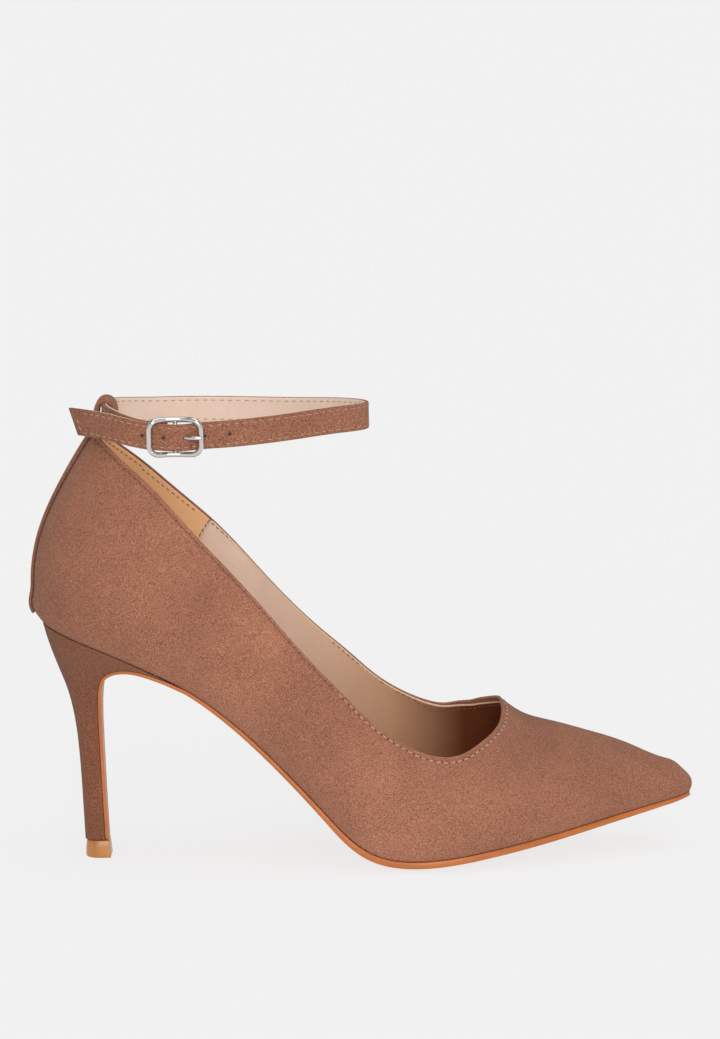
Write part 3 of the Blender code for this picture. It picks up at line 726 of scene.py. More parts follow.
def lining_leather(name, base, roughness=0.5, vamp=None):
    """Smooth lining leather with a fine pore grain, faint clouds, and painted shade in the vamp: tan, then
    the vamp colour.
    """
    finish = Finish(name)
    pores = finish.put("ShaderNodeTexVoronoi", {"Vector": finish.place, "Scale": 1300.0}).outputs["Distance"]
    clouds = finish.noise(45.0, 3.0, 0.55, 0.4)
    fine = finish.noise(500.0, 3.0, 0.6)
    colour = finish.toned(clouds, 0.35, 0.68, base, 0.93, 1.04)
    colour = finish.mix(finish.range(fine, 0.3, 0.7, 0.0, 0.12), colour, tuple(0.75 * c for c in base))
    if vamp is not None:
        # painted shade: darker through tan to the vamp colour towards the toe, where the inside lies in
        # shade
        along = finish.along_shoe()
        colour = finish.mix(finish.range(along, -0.045, 0.012), colour, VAMP_SHADE_TAN)
        colour = finish.mix(finish.range(along, 0.010, 0.036), colour, vamp)
    height = finish.sum(pores, finish.sum(clouds, 1.5, "MULTIPLY"))
    normal = finish.bump(height, 0.18, 0.0003)
    rough = finish.range(clouds, 0.3, 0.7, roughness - 0.05, roughness + 0.08)
    return finish.surface(Base_Color=colour, Roughness=rough, Normal=normal, Specular_IOR_Level=0.42)


def sole_leather(name, base, roughness):
    """Dyed sole leather with a burnished skin and a little long grain."""
    finish = Finish(name)
    grain = finish.noise(220.0, 4.0, 0.6, 0.5, where=finish.stretched((0.25, 1.0, 1.0)))
    clouds = finish.noise(40.0, 2.0, 0.5)
    colour = finish.toned(grain, 0.35, 0.65, base, 0.86, 1.10)
    colour = finish.mix(finish.range(clouds, 0.4, 0.7, 0.0, 0.35), colour, tuple(0.84 * c for c in base))
    normal = finish.bump(grain, 0.12, 0.0003)
    rough = finish.range(clouds, 0.3, 0.7, roughness - 0.06, roughness + 0.08)
    return finish.surface(
        Base_Color=colour, Roughness=rough, Normal=normal, Coat_Weight=0.18, Coat_Roughness=0.3
    )


def lift_plastic(name, base):
    """Hard moulded lift material, turned and buffed, with faint upright streaks."""
    finish = Finish(name)
    streaks = finish.noise(260.0, 3.0, 0.6, where=finish.stretched((1.0, 1.0, 0.06)))
    specks = finish.noise(1500.0, 2.0, 0.5)
    colour = finish.toned(streaks, 0.35, 0.65, base, 0.82, 1.12)
    normal = finish.bump(finish.sum(streaks, specks), 0.10, 0.0002)
    return finish.surface(
        Base_Color=colour, Roughness=0.34, Normal=normal, Coat_Weight=0.25, Coat_Roughness=0.2
    )


def polished_metal(name):
    """Polished nickel with a trace of buffing haze."""
    finish = Finish(name)
    haze = finish.noise(420.0, 3.0, 0.6)
    rough = finish.range(haze, 0.3, 0.7, 0.08, 0.19)
    normal = finish.bump(haze, 0.03, 0.0001)
    return finish.surface(Base_Color=(0.66, 0.65, 0.635, 1.0), Metallic=1.0, Roughness=rough, Normal=normal)


def thread(name, base):
    """Sewing thread with its twist."""
    finish = Finish(name)
    twist = finish.noise(2600.0, 2.0, 0.6)
    colour = finish.toned(twist, 0.35, 0.65, base, 0.72, 1.15)
    normal = finish.bump(twist, 0.3, 0.0002)
    return finish.surface(Base_Color=colour, Roughness=0.6, Normal=normal, Sheen_Weight=0.2)


MOCHA_SUEDE = suede("mocha_suede", (0.366, 0.147, 0.086))
HEEL_SUEDE = suede("heel_suede", (0.262, 0.098, 0.052), 2500.0)
STRAP_SUEDE = suede("strap_suede", (0.312, 0.124, 0.072), 2000.0)
# the vamp colours of the cream lining and the sock are painted shade deep towards the toe
CREAM_LINING = lining_leather("cream_lining", (0.82, 0.63, 0.51), vamp=(0.15, 0.042, 0.014))
STRAP_LINING = lining_leather("strap_lining", (0.80, 0.61, 0.49))
PALE_EDGE = lining_leather("pale_cut_edge", (0.74, 0.52, 0.34), 0.7)
COUNTER_TAN = lining_leather("counter_tan", (0.90, 0.55, 0.29), 0.6)
SOCK_LEATHER = lining_leather("sock_leather", (0.78, 0.56, 0.41), vamp=(0.20, 0.065, 0.022))
SOLE_LEATHER = sole_leather("sole_leather", (0.50, 0.135, 0.020), 0.42)
LIFT_PLASTIC = lift_plastic("lift_plastic", (0.45, 0.165, 0.034))
NICKEL = polished_metal("polished_nickel")
MOCHA_THREAD = thread("mocha_thread", (0.56, 0.31, 0.225))
PALE_THREAD = thread("pale_thread", (0.46, 0.27, 0.19))
LINING_THREAD = thread("lining_thread", (0.22, 0.095, 0.055))
# painted shade: the topline thread made darker behind the quarters
REAR_SHADED_THREAD = thread("rear_shaded_thread", (0.24, 0.098, 0.058))
SEAM_DARK = thread("seam_dark", (0.10, 0.042, 0.026))
# painted shade: dark discs that stand for the shade inside needle holes and punched holes
HOLE_SHADE_PAINT = lining_leather("painted_pit_shade", (0.075, 0.032, 0.02), 0.9)


# The upper

SUEDE_WALL = 1.0
LINING_WALL = 0.7
LINING_OFFSET = 1.05


# How the line where both halves meet runs from the throat to the toe, as shares of its length and
# of its way to the ridge. FOOT_LEAD gives u at the feather line by the distance to the throat.
SEAM_TO_TOE = ((0.0, 0.0), (0.25, 0.42), (0.6, 0.86), (1.0, 1.0))
FOOT_LEAD = ((-75.0, 1.0), (-45.0, 33.0), (-20.0, 51.0), (0.0, 65.0), (20.0, 80.0), (42.0, 97.5))
PATTERN_STEP = 0.25


def foot_places(line, tip_at):
    """u at the feather line for each point of a top line, leading it forward round the throat."""
    along = lengths_along(line)
    knots = [(0.0, line[0, 0])]
    first = along[tip_at] + FOOT_LEAD[0][0]
    for share in (0.35, 0.7):
        knots.append((first * share, np.interp(first * share, along, line[:, 0])))
    knots.append((first, np.interp(first, along, line[:, 0]) + FOOT_LEAD[0][1]))
    knots += [(along[tip_at] + ahead, u) for ahead, u in FOOT_LEAD[1:]]
    knots.append((along[-1], line[-1, 0]))
    knots = np.array([knot for knot in knots if knot[0] == 0.0 or knot[0] > 8.0])
    return smooth_curve(knots[:, 0], knots[:, 1])(along)


def smoothed(values, reach):
    """Values along a line, each averaged with those up to reach places away."""
    kernel = np.hanning(2 * reach + 3)[1:-1]
    kernel /= kernel.sum()
    before = np.repeat(values[:1], reach, axis=0)
    after = np.repeat(values[-1:], reach, axis=0)
    padded = np.concatenate([before, values, after])
    return np.stack([np.convolve(column, kernel, "valid") for column in padded.T], axis=1)


def half_top(opening, side):
    """The top line of one half, from the heel by the throat to the toe, and the throat's place in it."""
    throat = int(np.argmax(opening[:, 0]))
    top = opening[: throat + 1] if side < 0 else opening[throat:][::-1]
    tip = top[-1]
    toe = float(pattern_u(TOE_X))
    ahead = np.linspace(0.0, 1.0, int((toe - tip[0]) / PATTERN_STEP))
    fall = smooth_curve(*np.array(SEAM_TO_TOE).T)(ahead)
    seam = np.stack([tip[0] + (toe - tip[0]) * ahead, tip[1] * (1.0 - fall)], axis=1)
    line = np.concatenate([top, seam[1:]])
    along = lengths_along(line)
    places = np.arange(0.0, along[-1], PATTERN_STEP)
    line = sampled(line, along, places)
    line[-1] = seam[-1]
    return places, line, int(np.argmin(np.abs(places - along[len(top) - 1])))


def half_pattern(opening, side, count, rows):
    """Pattern points of one half of a sheet: columns from the feather line up to its top line."""
    places, line, tip_at = half_top(opening, side)
    away = directions(line)
    away = np.stack([away[:, 1], -away[:, 0]], axis=1) * (1.0 if side < 0 else -1.0)
    away = smoothed(away, int(7.0 / PATTERN_STEP))
    away /= np.linalg.norm(away, axis=1, keepdims=True)
    # the columns stand closer together at the throat and round the toe
    crowd = 1.0 + 1.6 * np.exp(-(((places - places[tip_at]) / 16.0) ** 2))
    crowd = np.cumsum(crowd + 1.2 * (places > places[-1] - 10.0))
    order = np.arange(len(places))
    chosen = np.interp(np.linspace(crowd[0], crowd[-1], count), crowd, order)
    top = sampled(line, order, chosen)
    away = sampled(away, order, chosen)
    foot_u = np.interp(chosen, order, foot_places(line, tip_at))
    foot = np.stack([foot_u, side * outline_length(pattern_x(foot_u), side)], axis=1)
    span = np.linalg.norm(top - foot, axis=1, keepdims=True)
    lift = np.stack([0.0 * foot_u, top[:, 1] - foot[:, 1]], axis=1) * 0.33
    turned = np.exp(-(((chosen - tip_at) * PATTERN_STEP / 24.0) ** 2))[:, None]
    reach = 3.0 * turned + 0.33 * span * (1.0 - turned)
    return bezier(foot.T, (foot + lift).T, (top + away * reach).T, top.T, rows)


def sheet_pattern(opening, count, rows):
    """Both halves of a sheet of the upper: the lateral from toe to heel, the medial from heel to toe."""
    return half_pattern(opening, -1, count, rows)[::-1], half_pattern(opening, 1, count, rows)


def laid_on_last(pattern):
    """The last's points of a whole grid of pattern points."""
    return on_last(pattern.reshape(-1, 2)).reshape(*pattern.shape[:2], 3)


def shares_up(count, even):
    """Shares of the way up to the collar, closer together near it the smaller even is."""
    down = np.linspace(1.0, 0.0, count)
    return 1.0 - (even * down + (1.0 - even) * down**2)


def distance_to(points, line):
    """How far each point is from the nearest point of a line, a block at a time."""
    result = []
    for block in np.array_split(points, max(1, len(points) // 2000)):
        gaps = block[:, None, :] - line[None, :, :]
        result.append(np.sqrt((gaps**2).sum(axis=2)).min(axis=1))
    return np.concatenate(result)


SEAM_IN = 1.5
SEAM_DEPTH = 0.34
SEAM_SOFTNESS = 0.55
PALE_SEAM_X = -14.0


def build_upper():
    rows = shares_up(84, 0.28)
    lateral, medial = sheet_pattern(topline(0.25), 196, rows)
    bm = grid_of(laid_on_last(np.concatenate([lateral, medial[1:]])))
    # the row of stitches draws the suede down in a soft trough along the topline
    verts = list(bm.verts)
    points = np.array([vert.co for vert in verts]) / MM
    near = distance_to(points, metres(on_last(topline(0.5))) / MM)
    press = SEAM_DEPTH * np.exp(-(((near - SEAM_IN) / SEAM_SOFTNESS) ** 2)) * MM
    for vert, depth in zip(verts, press):
        vert.co -= vert.normal * depth
    bm.normal_update()
    skin = BVHTree.FromBMesh(bm)
    thicken(bm, SUEDE_WALL * MM)
    rim = [edge for edge in top_edges(bm, len(rows) - 1) if is_rim(edge)]
    round_edges(bm, rim, 0.42 * MM, 3)
    bmesh.ops.recalc_face_normals(bm, faces=bm.faces)
    return bm, skin


def top_edges(bm, top):
    """The edges along the top row of a sheet."""
    column = bm.verts.layers.int["column"]
    return [edge for edge in bm.edges if all(vert[column] == top for vert in edge.verts)]


def is_rim(edge):
    """True for an edge along the rim of a thickened sheet, which turns a sharp corner."""
    return len(edge.link_faces) == 2 and edge.calc_face_angle(0.0) > 0.8


LINING_DROP_COLUMNS = ("x", "lat", "med")
LINING_DROP_ROWS = (
    (-114, 0.5, 0.5),
    (-60, 0.5, 0.5),
    (0, 0.5, 0.5),
    (26, 0.5, 0.6),
    (36, 0.5, 1.0),
    (44, 0.6, 1.5),
    (50, 0.8, 1.5),
)
LINING_DROP = smooth_table(LINING_DROP_COLUMNS, LINING_DROP_ROWS)
LINING_ROWS = 56
COUNTER_WALL = 0.45
COUNTER_OFFSET = LINING_OFFSET + 0.12
JOINT_X = -71.0
JOINT_LAP = 10.0


def lining_drop(x, w):
    """How far the lining's edge lies under the suede's, at points of the topline."""
    return np.where(w < 0.0, LINING_DROP["lat"](x), LINING_DROP["med"](x))


LINING_EDGE = topline(0.25, lining_drop)


def sunk(bm, depth):
    """Moves a sheet depth millimetres in behind the last's own surface."""
    for vert in bm.verts:
        vert.co -= vert.normal * depth * MM
    bm.normal_update()
    return bm


def build_quarter_lining():
    halves = []
    for half in (LINING_PATTERN[0][::-1], LINING_PATTERN[1]):
        halves.append(half[(half[:, :, 0] > JOINT_X).all(axis=1)])
    sheet = grid_of(laid_on_last(halves[0]))
    absorb(sheet, grid_of(laid_on_last(halves[1])))
    bmesh.ops.remove_doubles(sheet, verts=sheet.verts, dist=0.00002)
    bmesh.ops.recalc_face_normals(sheet, faces=sheet.faces)
    sheet.verts.index_update()
    sheet.normal_update()
    samples = list(sheet.verts)[::50]
    if sum(vert.normal.dot(OUTSIDE.find_nearest(vert.co)[1]) for vert in samples) < 0.0:
        bmesh.ops.reverse_faces(sheet, faces=sheet.faces)
        sheet.normal_update()
    return sunk(sheet, LINING_OFFSET)


def build_counter_lining():
    joined = np.concatenate([LINING_PATTERN[0], LINING_PATTERN[1][1:]])
    kept = joined[(joined[:, :, 0] < JOINT_X + JOINT_LAP).all(axis=1)]
    return sunk(grid_of(laid_on_last(kept)), COUNTER_OFFSET)


def rim_route(bm, top, depth):
    """The top edge of an open sheet in order from end to end, in the last's millimetres."""
    links = {}
    for edge in top_edges(bm, top):
        for vert in edge.verts if edge.is_boundary else ():
            links.setdefault(vert.index, []).append(edge.other_vert(vert))
    bm.verts.ensure_lookup_table()
    ends = [index for index, joined in links.items() if len(joined) == 1]
    vert = bm.verts[min(ends, key=lambda index: bm.verts[index].co.y)]
    route = []
    seen = set()
    while vert is not None:
        seen.add(vert.index)
        route.append(np.array(vert.co - vert.normal * depth * MM) / MM + (MIDDLE_X, 0.0, 0.0))
        vert = next((other for other in links[vert.index] if other.index not in seen), None)
    return smoothed(np.array(route), 2)


upper_mesh, OUTSIDE = build_upper()
finish_piece("upper_suede", upper_mesh, MOCHA_SUEDE, "upper")

LINING_PATTERN = sheet_pattern(LINING_EDGE, 170, shares_up(LINING_ROWS, 0.35))
cream = build_quarter_lining()
cream_rim = rim_route(cream, LINING_ROWS - 1, 0.5 * LINING_WALL)
thicken(cream, LINING_WALL * MM)
LINING_INSIDE = BVHTree.FromBMesh(cream)
finish_piece("quarter_lining", cream, CREAM_LINING, "upper")
counter = build_counter_lining()
thicken(counter, COUNTER_WALL * MM)
COUNTER_INSIDE = BVHTree.FromBMesh(counter)
finish_piece("counter_lining", counter, COUNTER_TAN, "upper")


# Stitches

OUTER_PITCH = 2.65
OUTER_STITCH = (OUTER_PITCH, 1.75, 0.55)
NEEDLE_HOLE = (OUTER_PITCH, 0.72, 0.50)
INNER_STITCH = (2.3, 1.5, 0.42)
STRIP_STITCH = (2.3, 1.6, 0.36)
STRAP_STITCH = (3.0, 1.8, 0.4)
TAIL_STITCH = (2.6, 1.8, 0.4)
INNER_SEAM_IN = 0.95


def stitches(line, surface, pitch, length, width, sink=0.0, skip=0.0):
    """Stitches along a line on a surface, each a short swollen thread that dives in at both ends."""
    along = lengths_along(line)
    count = int((along[-1] - 2.0 * skip) / pitch)
    bm = bmesh.new()
    for k in range(count):
        middle = skip + (k + 0.5) * pitch
        ends = sampled(line, along, (middle - 0.2, middle + 0.2))
        centre = 0.5 * (ends[0] + ends[1])
        hit = surface.find_nearest(Vector(metres(centre)))
        normal = hit[1]
        tangent = Vector(ends[1] - ends[0])
        tangent -= normal * tangent.dot(normal)
        tangent.normalize()
        side = normal.cross(tangent)
        turn = Matrix((tangent, side, normal)).transposed().to_4x4()
        size = Matrix.Diagonal((0.5 * length * MM, 0.5 * width * MM, 0.42 * width * MM, 1.0))
        place = Matrix.Translation(hit[0] - normal * sink * MM)
        bmesh.ops.create_uvsphere(bm, u_segments=8, v_segments=6, radius=1.0, matrix=place @ turn @ size)
    return bm


def moved_in(line, surface, depth):
    """The line's points taken depth millimetres in, along the surface's own directions."""
    moved = []
    for point in line:
        normal = np.array(surface.find_nearest(Vector(metres(point)))[1])
        moved.append(point - depth * normal)
    return np.array(moved)


seam_pattern = topline(0.5, SEAM_IN)
seam_x = pattern_x(seam_pattern[:, 0])
outer_seam = on_last(seam_pattern)
# the thread is paler round the throat; further back it is painted darker, as painted shade
SEAM_SPANS = (
    ("topline_stitches", seam_x > PALE_SEAM_X, MOCHA_THREAD),
    ("lateral_topline_stitches", (seam_x <= PALE_SEAM_X) & (seam_pattern[:, 1] < 0.0), REAR_SHADED_THREAD),
    ("medial_topline_stitches", (seam_x <= PALE_SEAM_X) & (seam_pattern[:, 1] > 0.0), REAR_SHADED_THREAD),
)
for name, span, look in SEAM_SPANS:
    finish_piece(name, stitches(outer_seam[span], OUTSIDE, *OUTER_STITCH), look, "upper")
    # the needle holes are dark discs of painted shade, not cut through
    holes = stitches(outer_seam[span], OUTSIDE, *NEEDLE_HOLE, sink=0.02, skip=0.5 * OUTER_PITCH)
    finish_piece(name.replace("stitches", "painted_needle_shade"), holes, HOLE_SHADE_PAINT, "upper")

inner = topline(0.6, lambda x, w: lining_drop(x, w) + INNER_SEAM_IN)
inner_x = pattern_x(inner[:, 0])
lining_seam = moved_in(on_last(inner[inner_x > JOINT_X + 1.5]), OUTSIDE, LINING_OFFSET + LINING_WALL)
lining_row = stitches(lining_seam, LINING_INSIDE, *INNER_STITCH)
finish_piece("lining_stitches", lining_row, LINING_THREAD, "upper")
for side, name in ((-1, "lateral"), (1, "medial")):
    u = float(pattern_u(JOINT_X + 1.2))
    near = np.argmin(np.hypot(LINING_EDGE[:, 0] - u, LINING_EDGE[:, 1] - side * 40.0))
    edge = float(abs(LINING_EDGE[near, 1]))
    down = np.linspace(edge + 1.6, edge + 60.0, 100)
    joint = on_last(np.stack([u + 0.0 * down, side * down], axis=1))
    joint = moved_in(joint, OUTSIDE, LINING_OFFSET + LINING_WALL)
    joint_row = stitches(joint, LINING_INSIDE, *INNER_STITCH)
    finish_piece(name + "_joint_stitches", joint_row, LINING_THREAD, "upper")
    rear = on_last(inner[(inner_x < JOINT_X - 1.0) & (side * inner[:, 1] > 0.0)])
    rear = moved_in(rear, OUTSIDE, COUNTER_OFFSET + COUNTER_WALL)
    rear_row = stitches(rear, COUNTER_INSIDE, *INNER_STITCH)
    finish_piece(name + "_counter_stitches", rear_row, LINING_THREAD, "upper")
EDGE_RADIUS = 0.40
edge_bead = capped(tube_rings(cream_rim, (0.0, 0.3, 0.2), EDGE_RADIUS, EDGE_RADIUS, 8))
finish_piece("lining_cut_edge", edge_bead, PALE_EDGE, "upper")


# The sole, heel and lift

SOLE_COLUMNS = 33
SOLE_MARGIN = 0.3
SOLE_EDGE = 0.25
FLAP_X = -62.0


def build_outsole():
    quarter = math.pi / 2.0
    toe = [TOE_X - TOE_ROUND * (1.0 - math.sin(quarter * i / 12.0)) for i in range(11, -1, -1)]
    plate = np.linspace(TOE_X - TOE_ROUND, FLAP_X, 120)[1:]
    stations = []
    for x in [*toe, *plate]:
        end = float(round_end(TOE_X - x, TOE_ROUND))
        lateral = (float(PLAN["foot_lat"](x)) + SOLE_MARGIN) * end
        medial = (float(PLAN["foot_med"](x)) + SOLE_MARGIN) * end
        values = [float(BOTTOM[name](x)) for name in ("height", "crown", "sole")]
        stations.append((x, values[0], lateral, medial, values[1], values[2]))
    for share in 1.0 - np.linspace(0.0, 1.0, 70) ** 1.3:
        half = float(HEEL["front_half"](share))
        stations.append((float(HEEL["front_x"](share)), float(HEEL["front_z"](share)), half, half, 0.0, 1.0))
    stations = np.array(stations)
    along = np.gradient(stations[:, :2], axis=0)
    along /= np.linalg.norm(along, axis=1, keepdims=True)
    along[-1] = (0.0, -1.0)
    top = []
    bottom = []
    for (x, z, lateral, medial, crown, thickness), (tx, tz) in zip(stations, along):
        up = np.array((tz, 0.0, -tx))
        axis = float(PLAN["axis"](x))
        tops = []
        bottoms = []
        for share in np.linspace(-1.0, 1.0, SOLE_COLUMNS):
            half = lateral if share < 0.0 else medial
            half = max(half - SOLE_EDGE, 0.05)
            level = GAP * 0.5 + crown * (1.0 - share * share)
            place = np.array((x, axis + share * half, z))
            under = place - (level + thickness + 0.5 * GAP) * up
            under[2] = max(under[2], 0.0)
            tops.append(place - level * up)
            bottoms.append(under)
        top.append(tops)
        bottom.append(bottoms)
    return capped(band_rings(top, bottom, 0.30))


def slice_points(back, front, half, front_half, rounding, steps):
    """The lateral edge of a flat slice from its back point to its front, as (x, distance out, z)."""
    back = np.array(back, float)
    front = np.array(front, float)
    length = float(np.linalg.norm(front - back))
    rounding = min(rounding, length)
    turns = np.linspace(0.0, math.pi / 2.0, steps)
    distances = [rounding * (1.0 - math.cos(turn)) for turn in turns]
    distances += list(np.linspace(rounding, length, steps // 2 + 1)[1:])
    points = []
    for distance in distances:
        share = distance / length
        out = (half + (front_half - half) * share) * float(round_end(distance, rounding))
        x, z = back + (front - back) * share
        points.append((x, out, z))
    return points


def ring_of(points):
    """A closed ring from a slice's edge points: back, lateral side, front, then the medial side."""
    lateral = [(x, -out, z) for x, out, z in points]
    medial = [(x, out, z) for x, out, z in points[:0:-1]]
    front_x, front_out, front_z = points[-1]
    front = [(front_x, -front_out + 2.0 * front_out * k / 6.0, front_z) for k in range(1, 6)]
    return lateral + front + medial + lateral[:1]


def build_heel():
    seat_back = float(HEEL["back_x"](1.0))
    seat_front = float(HEEL["front_x"](1.0))
    seat_ends = BOTTOM["height"](np.array((seat_back, seat_front)))
    rings = []
    for share in 1.0 - (1.0 - np.linspace(0.0, 1.0, 90)) ** 1.25:
        value = {name: float(curve(share)) for name, curve in HEEL.items()}
        back = (value["back_x"], value["back_z"])
        front = (value["front_x"], value["front_z"])
        points = []
        for x, out, z in slice_points(back, front, value["half"], value["front_half"], value["round"], 28):
            along = (x - back[0]) / (front[0] - back[0])
            seat = float(BOTTOM["height"](seat_back + (seat_front - seat_back) * along))
            curve = seat - (seat_ends[0] + (seat_ends[1] - seat_ends[0]) * along)
            points.append((x, out, z + curve * share**8))
        rings.append(ring_of(points))
    return capped(np.array(rings))


# Heights of the lift's slices, and how far each draws in, which rounds its two rims.
LIFT_LEVELS = (
    (0.0, 0.25),
    (0.12, 0.07),
    (0.3, 0.0),
    (1.2, 0.0),
    (3.7, 0.0),
    (5.9, 0.0),
    (6.1, 0.08),
    (LIFT_HEIGHT, 0.25),
)


def build_lift():
    rings = []
    for height, shrink in LIFT_LEVELS:
        value = {name: float(curve(height)) for name, curve in LIFT.items()}
        back = (value["back_x"] + shrink, height)
        front = (value["front_x"] - shrink, height)
        half = value["half"] - shrink
        rings.append(ring_of(slice_points(back, front, half, half, value["round"], 24)))
    return capped(np.array(rings))


finish_piece("outsole_leather", build_outsole(), SOLE_LEATHER, "outsole")
finish_piece("heel_cover", build_heel(), HEEL_SUEDE, "heel")
finish_piece("lift", build_lift(), LIFT_PLASTIC, "top_lift")


# The sock inside

SOCK_INSET = 1.95
SOCK_THICKNESS = 1.8
SOCK_SWELL = 0.35
SOCK_EASE = 0.5
SOCK_COLUMNS = 37


def build_sock():
    quarter = math.pi / 2.0
    heel_round = HEEL_ROUND - SOCK_INSET
    toe_round = TOE_ROUND - SOCK_INSET
    start = HEEL_X + SOCK_INSET
    end = TOE_X - SOCK_INSET
    heel = [start + heel_round * (1.0 - math.cos(quarter * i / 20.0)) for i in range(1, 21)]
    toe = [end - toe_round * (1.0 - math.sin(quarter * i / 8.0)) for i in range(0, 8)]
    stations = [*heel, *np.linspace(heel[-1], toe[0], 130)[1:-1], *toe[1:]]
    top = []
    bottom = []
    for x in stations:
        ends = float(round_end(x - start, heel_round) * round_end(end - x, toe_round))
        lateral = (float(PLAN["foot_lat"](x)) - SOCK_INSET - SOCK_EASE) * ends
        medial = (float(PLAN["foot_med"](x)) - SOCK_INSET - SOCK_EASE) * ends
        tops = []
        bottoms = []
        for share in np.linspace(-1.0, 1.0, SOCK_COLUMNS):
            half = lateral if share < 0.0 else medial
            drop = float(BOTTOM["crown"](x)) * (1.0 - share * share)
            place = np.array((x, float(PLAN["axis"](x)) + share * half, float(BOTTOM["height"](x)) - drop))
            bottoms.append(place)
            tops.append(place + (0.0, 0.0, SOCK_THICKNESS + SOCK_SWELL * (1.0 - share**4)))
        top.append(tops)
        bottom.append(bottoms)
    return capped(band_rings(top, bottom, 0.7))


finish_piece("sock", build_sock(), SOCK_LEATHER, "insole")


# The back strip and its loop

def back_rows(shares, columns):
    """Points of the upper's outside near the back seam and the outward directions there."""
    points = []
    for share in shares:
        row = []
        for column in columns:
            out = float(STRIP["half"](share)) * column
            turn = math.asin(abs(out) / HEEL_ROUND)
            x = HEEL_X + HEEL_ROUND * (1.0 - math.cos(turn))
            side = -1 if out < 0.0 else 1
            row.append(last_points(x, side, share * collar_share(HEEL_X, side))[0])
        points.append(row)
    points = np.array(points)
    outward = np.cross(np.gradient(points, axis=0), np.gradient(points, axis=1))
    outward /= np.linalg.norm(outward, axis=2, keepdims=True)
    if outward[len(shares) // 2, len(columns) // 2, 0] > 0.0:
        outward = -outward
    return points, outward


LOOP_BACKING = 2.8
STRIP_ACROSS = np.linspace(-0.93, 0.93, 13)
STRIP_FOOT = 0.04
STRIP_TOP = 0.985
TURNED_IN_TO = 0.89
STRIP_LIFT = 0.1
UPPER_WALL = 1.8


def build_back_strip():
    points, outward = back_rows(np.linspace(STRIP_FOOT, STRIP_TOP, 90), STRIP_ACROSS)
    inside = list(points + outward * STRIP_LIFT)
    outside = list(points + outward * (GAP + STRIP_THICKNESS))
    route = np.array([(x, 0.0, z) for x, z in LOOP_ROUTE])
    route = smooth_route(route, np.linspace(0.0, lengths_along(route)[-1], 48))
    for (x, _, z), direction in zip(route, directions(route)):
        out = np.array((-direction[2], 0.0, direction[0])) * 0.5 * STRIP_THICKNESS
        row = np.array([(x, LOOP_HALF * column, z) for column in STRIP_ACROSS])
        inside.append(row - out * LOOP_BACKING)
        outside.append(row + out)
    points, outward = back_rows(np.linspace(STRIP_TOP, TURNED_IN_TO, 10), STRIP_ACROSS)
    lining = points - outward * UPPER_WALL
    inside += list(lining - outward * STRIP_LIFT)
    outside += list(lining - outward * (GAP + STRIP_THICKNESS))
    return capped(band_rings(outside, inside, 0.8))


finish_piece("back_strip_suede", build_back_strip(), MOCHA_SUEDE, "back_strip")
strip_edges, _ = back_rows(np.linspace(0.05, 0.97, 120), (-1.1, 1.1))
for place, name in ((0, "lateral"), (1, "medial")):
    seam = stitches(strip_edges[:, place], OUTSIDE, *STRIP_STITCH)
    finish_piece(name + "_strip_stitches", seam, SEAM_DARK, "back_strip")


# The ankle strap

def strap_line(step):
    """The strap's middle line with its outward directions, step millimetres apart."""
    length = lengths_along(np.array(STRAP_ROUTE))[-1]
    route = smooth_route(STRAP_ROUTE, np.linspace(0.0, length, int(length / step)))
    inward = np.cross(directions(route), (0.0, 0.0, 1.0))
    inward /= np.linalg.norm(inward, axis=1, keepdims=True)
    return route, -inward


def strap_layer(outer, inner, half, swell):
    """A layer of the strap between two distances from its middle line, with the tail cut on a slant."""
    route, outward = strap_line(0.8)
    levels = np.linspace(-1.0, 1.0, 15)
    fronts = []
    backs = []
    direction = directions(route)
    from_end = lengths_along(route)[-1] - lengths_along(route)
    for i, (point, out) in enumerate(zip(route, outward)):
        slide = STRAP_SLANT * max(0.0, 1.0 - from_end[i] / 12.0)
        front = []
        back = []
        for level in levels:
            place = point + (0.0, 0.0, level * half) + direction[i] * slide * level
            front.append(place + out * outer)
            back.append(place + out * inner)
        fronts.append(front)
        backs.append(back)
    return capped(band_rings(fronts, backs, swell))


half_width = 0.5 * STRAP_WIDTH
suede_layer = strap_layer(1.0, -0.25, half_width - 0.45, 0.7)
STRAP_OUTSIDE = BVHTree.FromBMesh(suede_layer)
finish_piece("strap_suede_layer", suede_layer, STRAP_SUEDE, "ankle_strap")
lining_layer = strap_layer(-0.25, -1.0, half_width - 0.35, 0.6)
STRAP_INSIDE = BVHTree.FromBMesh(lining_layer)
finish_piece("strap_lining_layer", lining_layer, STRAP_LINING, "ankle_strap")


def strap_stitches():
    route, outward = strap_line(0.8)
    merged = bmesh.new()
    for level in (-1.0, 1.0):
        for distance, surface in ((1.0, STRAP_OUTSIDE), (-1.0, STRAP_INSIDE)):
            line = route + outward * distance + np.array((0.0, 0.0, level * (half_width - 1.35)))
            absorb(merged, stitches(line, surface, *STRAP_STITCH, skip=2.4))
    across = np.linspace(-1.0, 1.0, 30)[:, None] * (half_width - 1.6)
    end = len(route) - 4
    direction = directions(route)[end]
    slant = direction * STRAP_SLANT / half_width
    line = route[end] + outward[end] + across * (np.array((0.0, 0.0, 1.0)) + slant)
    absorb(merged, stitches(line, STRAP_OUTSIDE, *TAIL_STITCH))
    return merged


finish_piece("strap_stitches", strap_stitches(), PALE_THREAD, "ankle_strap")

HOLE_X = (-44.5, -53.0, -60.4, -67.3, -74.7)
HOLE_RADIUS = 0.68


